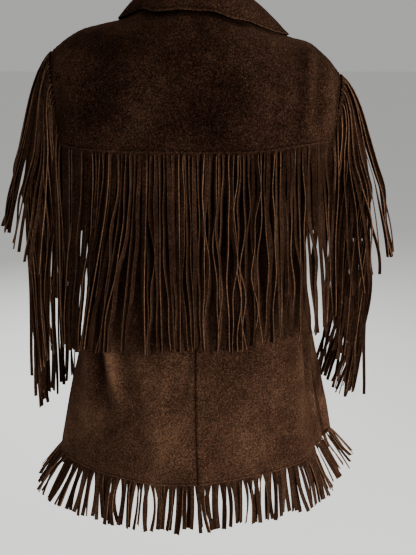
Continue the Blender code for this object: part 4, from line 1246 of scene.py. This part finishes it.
def sway(runs, size, turns, phase, start=0.3):
    """A strand's wandering to one side and back, growing from its seam."""
    return size * np.sin(2.0 * math.pi * turns * runs + phase) * ease(runs / start)


def ribbon_twist(strands, runs, first, phase):
    """Angle of a strand's broad face: flat in the seam, turned within a short way."""
    swing, turns = random.uniform(*strands.swing), random.uniform(*strands.turns)
    return ease(runs / 0.04) * (first + swing * np.sin(2.0 * math.pi * turns * runs + phase))


def make_yoke_fringe():
    ribbons = Ribbons()
    share, side = across_back(YOKE_POINTS)
    level = 1.0 - risen(side, share)
    normals = body_normals(1, side, share, level)
    seam = body(1, side, share, level) + normals * (CLOTH + LAP)
    length = reach(seam)
    high, low = seam + UP * YOKE_STRIP_TOP, seam - UP * STRIP_FOOT
    ribbons.add_bar(np.stack([high, high + normals * STRIP, low + normals * STRIP, low],
                             axis=1)[4:-4])
    runs = np.concatenate([[0.0, 0.012, 0.03, 0.055], np.linspace(0.09, 1.0, 21)])
    for number, place in enumerate(np.linspace(0.008, length[-1] - 0.008, YOKE_STRANDS.number)):
        _, root, out = rooted(seam, normals, length, place, 0.0006)
        root = root + out * STRIP / 2.0
        total = LONG_STRAND + 0.004 * wave(number, 0.31, 1.37) + random.uniform(-0.004, 0.004)
        total += smooth(YOKE_LEANS, "x", "longer", root[0])
        middle = smooth(YOKE_LEANS, "x", "middle", root[0]) + random.normal(0.0, 0.0026)
        tip = smooth(YOKE_LEANS, "x", "tip", root[0]) + random.normal(0.0, 0.0042)
        wander = abs(random.normal(*YOKE_STRANDS.wander)) + 0.0018 * bell(root[0] + 0.060, 0.035)
        phases = random.uniform(0.0, TURN, 3)
        x = (root[0] + middle * ease(runs / 0.95) + (tip - middle) * runs ** 2.2
             + sway(runs, wander, 1.3, phases[0]) + sway(runs, 0.5 * wander, 3.1, phases[1]))
        z = root[2] - total * runs * (1.0 - 0.012 * abs(tip) / 0.05)
        width = random.uniform(*YOKE_STRANDS.width)
        turn = random.normal(0.85, 0.35) * random.choice([-1, 1], p=[0.28, 0.72])
        flat = float(ease((-root[0] - 0.135) / 0.030))
        turn, width = turn * (1.0 - 0.6 * flat), width + 0.0010 * flat
        twist = ribbon_twist(YOKE_STRANDS, runs, turn, phases[2])
        layer = (number % 3) * YOKE_STRANDS.step + random.uniform(0.0, 0.0014)
        clear = (back_surface(x, z) + CLOTH + 0.0016 + np.abs(np.sin(twist)) * width / 2.0
                 + layer * ease(runs / 0.1))
        swing = root[1] + (0.0025 + layer) * np.sin(math.pi * np.minimum(runs * 1.3, 1.0))
        y = np.where(runs < 0.02, root[1], np.maximum(swing, clear))
        y[1:-1] = (y[:-2] + 2.0 * y[1:-1] + y[2:]) / 4.0
        ribbons.add(np.stack([x, y, z], axis=-1), ACROSS, unit(out * LEVEL), twist, width,
                    random.normal(0.0, TONE_SPREAD))
    return ribbons.build("yoke_fringe")


def plumb(grid, rows, column, angle, back_from, side):
    """Columns that a strand follows down the sleeve's back, the straighter the further back
    it leaves the seam."""
    share = 0.8 * ease(angle / 75.0)
    goal = mix(at(grid, rows, column)[:, 0], at(grid, rows, column)[0, 0], share)
    found = []
    for number, row in enumerate(rows.astype(int)):
        line = grid[row, back_from:, 0] * -side
        last = int(np.argmax(line)) + 1
        place = np.interp(goal[number] * -side, line[:last], np.arange(last)) + back_from
        found.append(max(place, column[number]))
    return mix(column, np.array(found), ease(rows / 7.0))


def make_armhole_fringe(name, side):
    ribbons = Ribbons()
    angles = np.linspace(-24.0, 200.0, ARMHOLE_POINTS)
    alongs = np.concatenate([[0.012, 0.04, 0.075], np.linspace(0.12, 0.97, 12)])
    grid, normals = sleeve_patch(side, angles, alongs)
    back_from = int(np.argmin(np.abs(angles - 8.0)))
    lift = np.interp(alongs, (0.0, 0.176, 0.388, 0.668, 0.972),
                     (0.0028, 0.0042, 0.0062, 0.0095, 0.0125))
    edge = grid[0] + normals[0] * (CLOTH + LAP)
    low = grid[2] + normals[2] * (CLOTH + LAP)
    ribbons.add_bar(np.stack([edge, edge + normals[0] * STRIP, low + normals[2] * STRIP, low],
                             axis=1)[4:134])
    length = reach(edge)
    ends = np.interp((-20.0, 109.0), angles, length)
    for number, place in enumerate(np.linspace(*ends, ARMHOLE_STRANDS.number)):
        angle = float(np.interp(place + random.uniform(-0.001, 0.001), length, angles))
        layer = (number % 3) * ARMHOLE_STRANDS.step
        rows = np.arange(len(alongs), dtype=float)
        drift = random.normal(0.0, 3.0)
        column = np.interp(angle + SLEEVE_TWIST * ease(alongs) + drift * ease(alongs),
                           angles, np.arange(ARMHOLE_POINTS))
        column = plumb(grid, rows, column, angle, back_from, side)
        away = lift + layer * ease(alongs / 0.2)
        kept = int(round(mix(12, 4, float(ease((angle - 50.0) / 40.0)))))
        path = at(grid + normals * away[:, None, None], rows, column)[:kept]
        across = (at(grid, rows, column + 1.0) - at(grid, rows, column - 1.0))[:kept]
        outward = at(normals, rows, column)[:kept]
        covered = reach(path)[-1]
        rest = max(ARMHOLE_STRAND[name] + 0.010 * wave(number, 0.5, 1.9) - covered, 0.03)
        swing = SWING[name] * max(math.cos(math.radians(angle)), 0.0) + random.normal(0.0, 0.012)
        fall = unit(np.array([side * swing, 0.05 + random.normal(0.0, 0.012), -1.0]))
        runs = np.linspace(0.0, 1.0, 19)[1:]
        phases = random.uniform(0.0, TURN, 3)
        wander = abs(random.normal(*ARMHOLE_STRANDS.wander))
        start = unit(path[-1] - path[-2])
        straight = ease(rest * runs / mix(0.03, 0.11, kept / 12))[:, None]
        hang = path[-1] + np.cumsum(unit(mix(start, fall, straight)), axis=0) * rest / len(runs)
        hang[:, 0] += sway(runs, wander, 1.2, phases[0], 0.4)
        hang[:, 1] += sway(runs, wander, 0.9, phases[1], 0.4)
        path = np.concatenate([path, hang])
        across = np.concatenate([across, np.repeat(across[-1:], len(runs), axis=0)])
        outward = np.concatenate([outward, np.repeat(outward[-1:], len(runs), axis=0)])
        whole = reach(path)
        whole = whole / whole[-1]
        turn = random.normal(0.90, 0.25) * random.choice([-1, 1], p=[0.3, 0.7])
        twist = ribbon_twist(ARMHOLE_STRANDS, whole, turn, phases[2])
        ribbons.add(path, across, outward, twist, random.uniform(*ARMHOLE_STRANDS.width),
                    random.normal(0.0, TONE_SPREAD))
    return ribbons.build("armhole_fringe_" + name)


def make_sleeve_fringe(name, side):
    ribbons = Ribbons()
    _, back = seam_angles(side)
    rows = np.linspace(0.42, 2.64, SLEEVE_POINTS)
    angles = back + np.linspace(-10.0, 4.0, 15)
    grid, normals = sleeve_patch(side, angles, rows)
    seam, out = grid[:, 10], normals[:, 10]
    low = seam + out * (CLOTH + LAP)
    top = grid[:, 3] + normals[:, 3] * (CLOTH + LAP)
    ribbons.add_bar(np.stack([top, top + out * STRIP, low + out * STRIP, low], axis=1)[::3])
    length = reach(seam)
    runs = np.concatenate([[0.0, 0.02, 0.045, 0.08], np.linspace(0.12, 1.0, 17)])
    for number, place in enumerate(np.linspace(0.003, length[-1] - 0.003, SLEEVE_STRANDS.number)):
        place, root, outward = rooted(low, out, length, place, 0.0008)
        along = float(np.interp(place, length, rows))
        root = root + outward * STRIP / 2.0
        forearm = ease((along - 1.15) / 0.35)
        total = LONG_STRAND + 0.010 * wave(number, 0.6, 1.7) + random.uniform(-0.006, 0.006)
        total -= FOREARM_SHORTER[name] * forearm
        away = mix(0.0060, 0.0022, ease((along - 1.55) / 0.3))
        away = away + (number % 3) * SLEEVE_STRANDS.step
        phases = random.uniform(0.0, TURN, 3)
        wander = abs(random.normal(*SLEEVE_STRANDS.wander)) + (0.0 if side > 0 else 0.0012)
        outside = mix(-0.010, 0.002, forearm) + (0.007 if side > 0 else 0.0)
        tip = np.array([side * outside + random.normal(0.0, 0.0055),
                        0.004 + random.normal(0.0, 0.0045), -total])
        path = root + outward * (away * ease(runs / 0.06))[:, None] + tip * runs[:, None]
        if side < 0:
            bowed = 0.007 * np.sin(math.pi * np.minimum(runs * 1.15, 1.0)) - 0.016 * runs ** 4
            path[:, 0] += side * forearm * bowed * (1.0 + 0.6 * wave(number, 1.1, 2.9))
        path[:, 0] += sway(runs, wander, 1.2, phases[0])
        path[:, 1] += sway(runs, wander, 0.8, phases[1])
        facing = unit(outward * LEVEL)
        turn = random.normal(0.7, 0.5) * random.choice([-1, 1])
        twist = ribbon_twist(SLEEVE_STRANDS, runs, turn, phases[2])
        ribbons.add(path, np.cross(facing, UP), facing, twist,
                    random.uniform(*SLEEVE_STRANDS.width), random.normal(0.0, TONE_SPREAD))
    return ribbons.build("sleeve_fringe_" + name)


def make_hem_fringe(name, face, side, share, count):
    """Strands from a strip inside the hem, flaring out a little."""
    ribbons = Ribbons()
    hem = np.full(share.shape, 3.0)
    points = body(face, side, share, hem)
    normals = body_normals(face, side, share, hem)
    around = side * (share if face > 0 else 2.0 - share)
    creases = crease_depth(BACK_CREASES if face > 0 else FRONT_CREASES, around, points[..., 2])
    creases = creases * ease((1.0 - share) / 0.06)
    moved = fold_depth(face, side, share, points[..., 2]) + creases
    points = points + normals * moved[..., None]
    inside = points - normals * LAP
    lining = inside - normals * STRIP
    top, foot = UP * HEM_STRIP_TOP, UP * STRIP_FOOT
    ribbons.add_bar(np.stack([lining + top, inside + top, inside + foot, lining + foot],
                             axis=1)[2:-2])
    length = reach(points)
    runs = np.concatenate([[0.0, 0.05, 0.12], np.linspace(0.2, 1.0, 9)])
    for number, place in enumerate(np.linspace(0.003, length[-1] - 0.003, count)):
        _, root, out = rooted(inside, normals, length, place, 0.0008)
        root = root - out * STRIP / 2.0 + UP * 0.001
        level = unit(out * LEVEL)
        across = np.cross(level, UP)
        sideways = abs(root[0]) / TORSO[0].side
        flare = 0.10 + 0.55 * sideways ** 3 + 0.05 * wave(number, 0.8, 2.3)
        flare += random.normal(0.0, 0.05)
        lean = 0.09 * wave(number, 0.19, 0.43) + random.normal(0.0, 0.05)
        total = HEM_STRAND + 0.004 * wave(number, 0.9, 2.0) + random.uniform(-0.003, 0.003)
        down = unit(level * max(flare, 0.02) + across * lean - UP)
        curl = random.normal(0.0, 0.0030)
        phases = random.uniform(0.0, TURN, 2)
        path = root + down * total * runs[:, None]
        path = path + across * (curl * np.sin(math.pi * runs))[:, None]
        path = path + level * (random.normal(0.0, 0.002) * np.sin(math.pi * runs))[:, None]
        path = path - UP * (0.002 * runs ** 2)[:, None]
        path = path + level * (HEM_STRANDS.step * (number % 3 - 1) * ease(runs / 0.35))[:, None]
        twist = ribbon_twist(HEM_STRANDS, runs * 0.2, random.normal(0.0, 0.40), phases[1])
        ribbons.add(path, across, level, twist, random.uniform(*HEM_STRANDS.width),
                    random.normal(0.14, 0.08))
    return ribbons.build(name)


# ------------------------------------------------------------------ the whole jacket
yoke = make_yoke()
backs = {name: make_back(name, side) for name, side in SIDES.items()}
fronts = {name: make_front(name, side) for name, side in SIDES.items()}
collar = make_collar()
sleeves = {name: make_sleeve(name, side) for name, side in SIDES.items()}
yoke_fringe = make_yoke_fringe()
armhole_fringes = {name: make_armhole_fringe(name, side) for name, side in SIDES.items()}
sleeve_fringes = {name: make_sleeve_fringe(name, side) for name, side in SIDES.items()}
share, side = across_back(HEM_POINTS)
hem_fringes = {"back": make_hem_fringe("hem_fringe_back", 1, side, share,
                                       HEM_STRANDS.number["back"])}
share = np.linspace(FRONT_SHARE, 1.0, HEM_POINTS)
for name, side in SIDES.items():
    hem_fringes[name] = make_hem_fringe("hem_fringe_front_" + name, -1,
                                        np.full(HEM_POINTS, float(side)), share,
                                        HEM_STRANDS.number[name])

near, far = ALLOWANCE_PLACES, tuple(-1 - k for k in ALLOWANCE_PLACES)
allowances = {"back_left": [allowance("centre_back_allowance", beside(backs["left"], near),
                                      beside(backs["right"], near[::-1]))]}
for name in SIDES:
    back, front = backs[name], fronts[name]
    below = back.inner[:, -1, 2] <= UNDERARM_Z + 1e-4
    before = front.inner[:, -1, 2] <= UNDERARM_Z + 1e-4
    top, under = sleeves[name]
    allowances["front_" + name] = [
        allowance("side_seam_allowance_" + name, beside(back, far, below),
                  beside(front, far[::-1], before))]
    allowances["sleeve_top_" + name] = [armhole_allowance(name, SIDES[name])]
    allowances["sleeve_under_" + name] = [
        allowance("sleeve_back_allowance_" + name, beside(top, far), beside(under, near[::-1])),
        allowance("sleeve_front_allowance_" + name, beside(under, far), beside(top, near[::-1]))]


panels = {"back_yoke": yoke, "collar": collar}
for name in SIDES:
    panels["back_" + name] = backs[name]
    panels["front_" + name] = fronts[name]
    panels["sleeve_top_" + name] = sleeves[name][0]
    panels["sleeve_under_" + name] = sleeves[name][1]

FOOT = -1 - STITCH_LINE
OPEN_SIDED = ("back_yoke", "collar", "front_left", "front_right")   # stitched down both sides
threads = {}
for panel, made in panels.items():
    sewn = [(made.outer[FOOT, 2:-2], made.normals[FOOT, 2:-2])]
    if panel in OPEN_SIDED:
        sewn += [(made.outer[2:-2, k], made.normals[2:-2, k]) for k in (STITCH_LINE, FOOT)]
    threads[panel] = stitches(panel + "_stitches", sewn)

fringes = {"yoke_fringe": yoke_fringe, "hem_fringe_back": hem_fringes["back"]}
for name in SIDES:
    fringes["armhole_fringe_" + name] = armhole_fringes[name]
    fringes["sleeve_fringe_" + name] = sleeve_fringes[name]
    fringes["hem_fringe_front_" + name] = hem_fringes[name]

for panel, made in panels.items():
    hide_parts(panel)
    for thing in [made.thing, threads[panel]] + allowances.get(panel, []):
        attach(thing, "root")
for fringe, thing in fringes.items():
    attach(thing, "root")
    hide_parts(fringe)

Cut = namedtuple("Cut", "panel width length area held on")
# flat sizes, in metres, each panel's fringe and stitches going with it
CUTS = rows_of(Cut,
    ("back_yoke", 0.46, 0.235, 0.096, "draped", ("yoke_fringe",)),
    ("back_left", 0.270, 0.535, 0.128, "hung", ("hem_fringe_back",)),
    ("back_right", 0.270, 0.535, 0.128, "hung", ()),
    ("front_left", 0.270, 0.720, 0.163, "hung", ("hem_fringe_front_left",)),
    ("front_right", 0.270, 0.720, 0.163, "hung", ("hem_fringe_front_right",)),
    ("collar", 0.480, 0.120, 0.048, "folded", ()),
    ("sleeve_top_left", 0.180, 0.480, 0.070, "hung",
        ("armhole_fringe_left", "sleeve_fringe_left")),
    ("sleeve_top_right", 0.180, 0.480, 0.070, "hung",
        ("armhole_fringe_right", "sleeve_fringe_right")),
    ("sleeve_under_left", 0.150, 0.420, 0.048, "hung", ()),
    ("sleeve_under_right", 0.150, 0.420, 0.048, "hung", ()),
)
for cut in CUTS:
    thing = panels[cut.panel].thing

# ------------------------------------------------------------------ floor, light and camera
FLOOR_Z = -1.42
FLOOR_SIZE = 60.0
bpy.ops.mesh.primitive_plane_add(size=FLOOR_SIZE, location=(0.0, 0.0, FLOOR_Z))
floor = bpy.context.object
floor.name = "floor"
floor.data.materials.append(plain("floor_paint", (0.985, 0.98, 0.965), 0.95))

world = bpy.data.worlds.new("studio")
world.use_nodes = True
sky = world.node_tree.nodes["Background"].inputs
sky["Color"].default_value = (0.80, 0.80, 0.79, 1.0)
sky["Strength"].default_value = 0.57
bpy.context.scene.world = world

Lamp = namedtuple("Lamp", "name place size power colour")
LAMPS = rows_of(Lamp,
    ("key", (-2.1, 1.35, 0.10), 0.8, 105.0, (1.0, 0.97, 0.93)),
    ("low", (-0.7, 1.9, -1.15), 0.7, 11.0, (1.0, 0.93, 0.84)),
    ("fill", (2.6, 1.2, 1.4), 1.2, 36.0, (1.0, 0.99, 0.98)),
    ("front", (0.8, -2.6, 1.0), 1.6, 85.0, (1.0, 1.0, 1.0)),
)
LAMP_TARGET = Vector((0.0, 0.0, -0.35))
for lamp in LAMPS:
    data = bpy.data.lights.new(lamp.name, "AREA")
    data.shape = "DISK"
    data.size = lamp.size
    data.energy = lamp.power
    data.color = lamp.colour
    thing = bpy.data.objects.new(lamp.name, data)
    bpy.context.scene.collection.objects.link(thing)
    thing.location = lamp.place
    aim = LAMP_TARGET - Vector(lamp.place)
    thing.rotation_euler = aim.to_track_quat("-Z", "Y").to_euler()

CAMERA_LENS = 51.9          # millimetres
CAMERA_PLACE = (-0.017, 1.245, -0.02)
CAMERA_TILT = math.radians(73.0)        # up from looking straight down
camera_data = bpy.data.cameras.new("camera")
camera_data.lens = CAMERA_LENS
camera_data.sensor_width = 36.0
camera = bpy.data.objects.new("camera", camera_data)
camera.location = CAMERA_PLACE
camera.rotation_euler = (CAMERA_TILT, 0.0, math.pi)
bpy.context.scene.collection.objects.link(camera)
bpy.context.scene.camera = camera
bpy.context.view_layer.update()
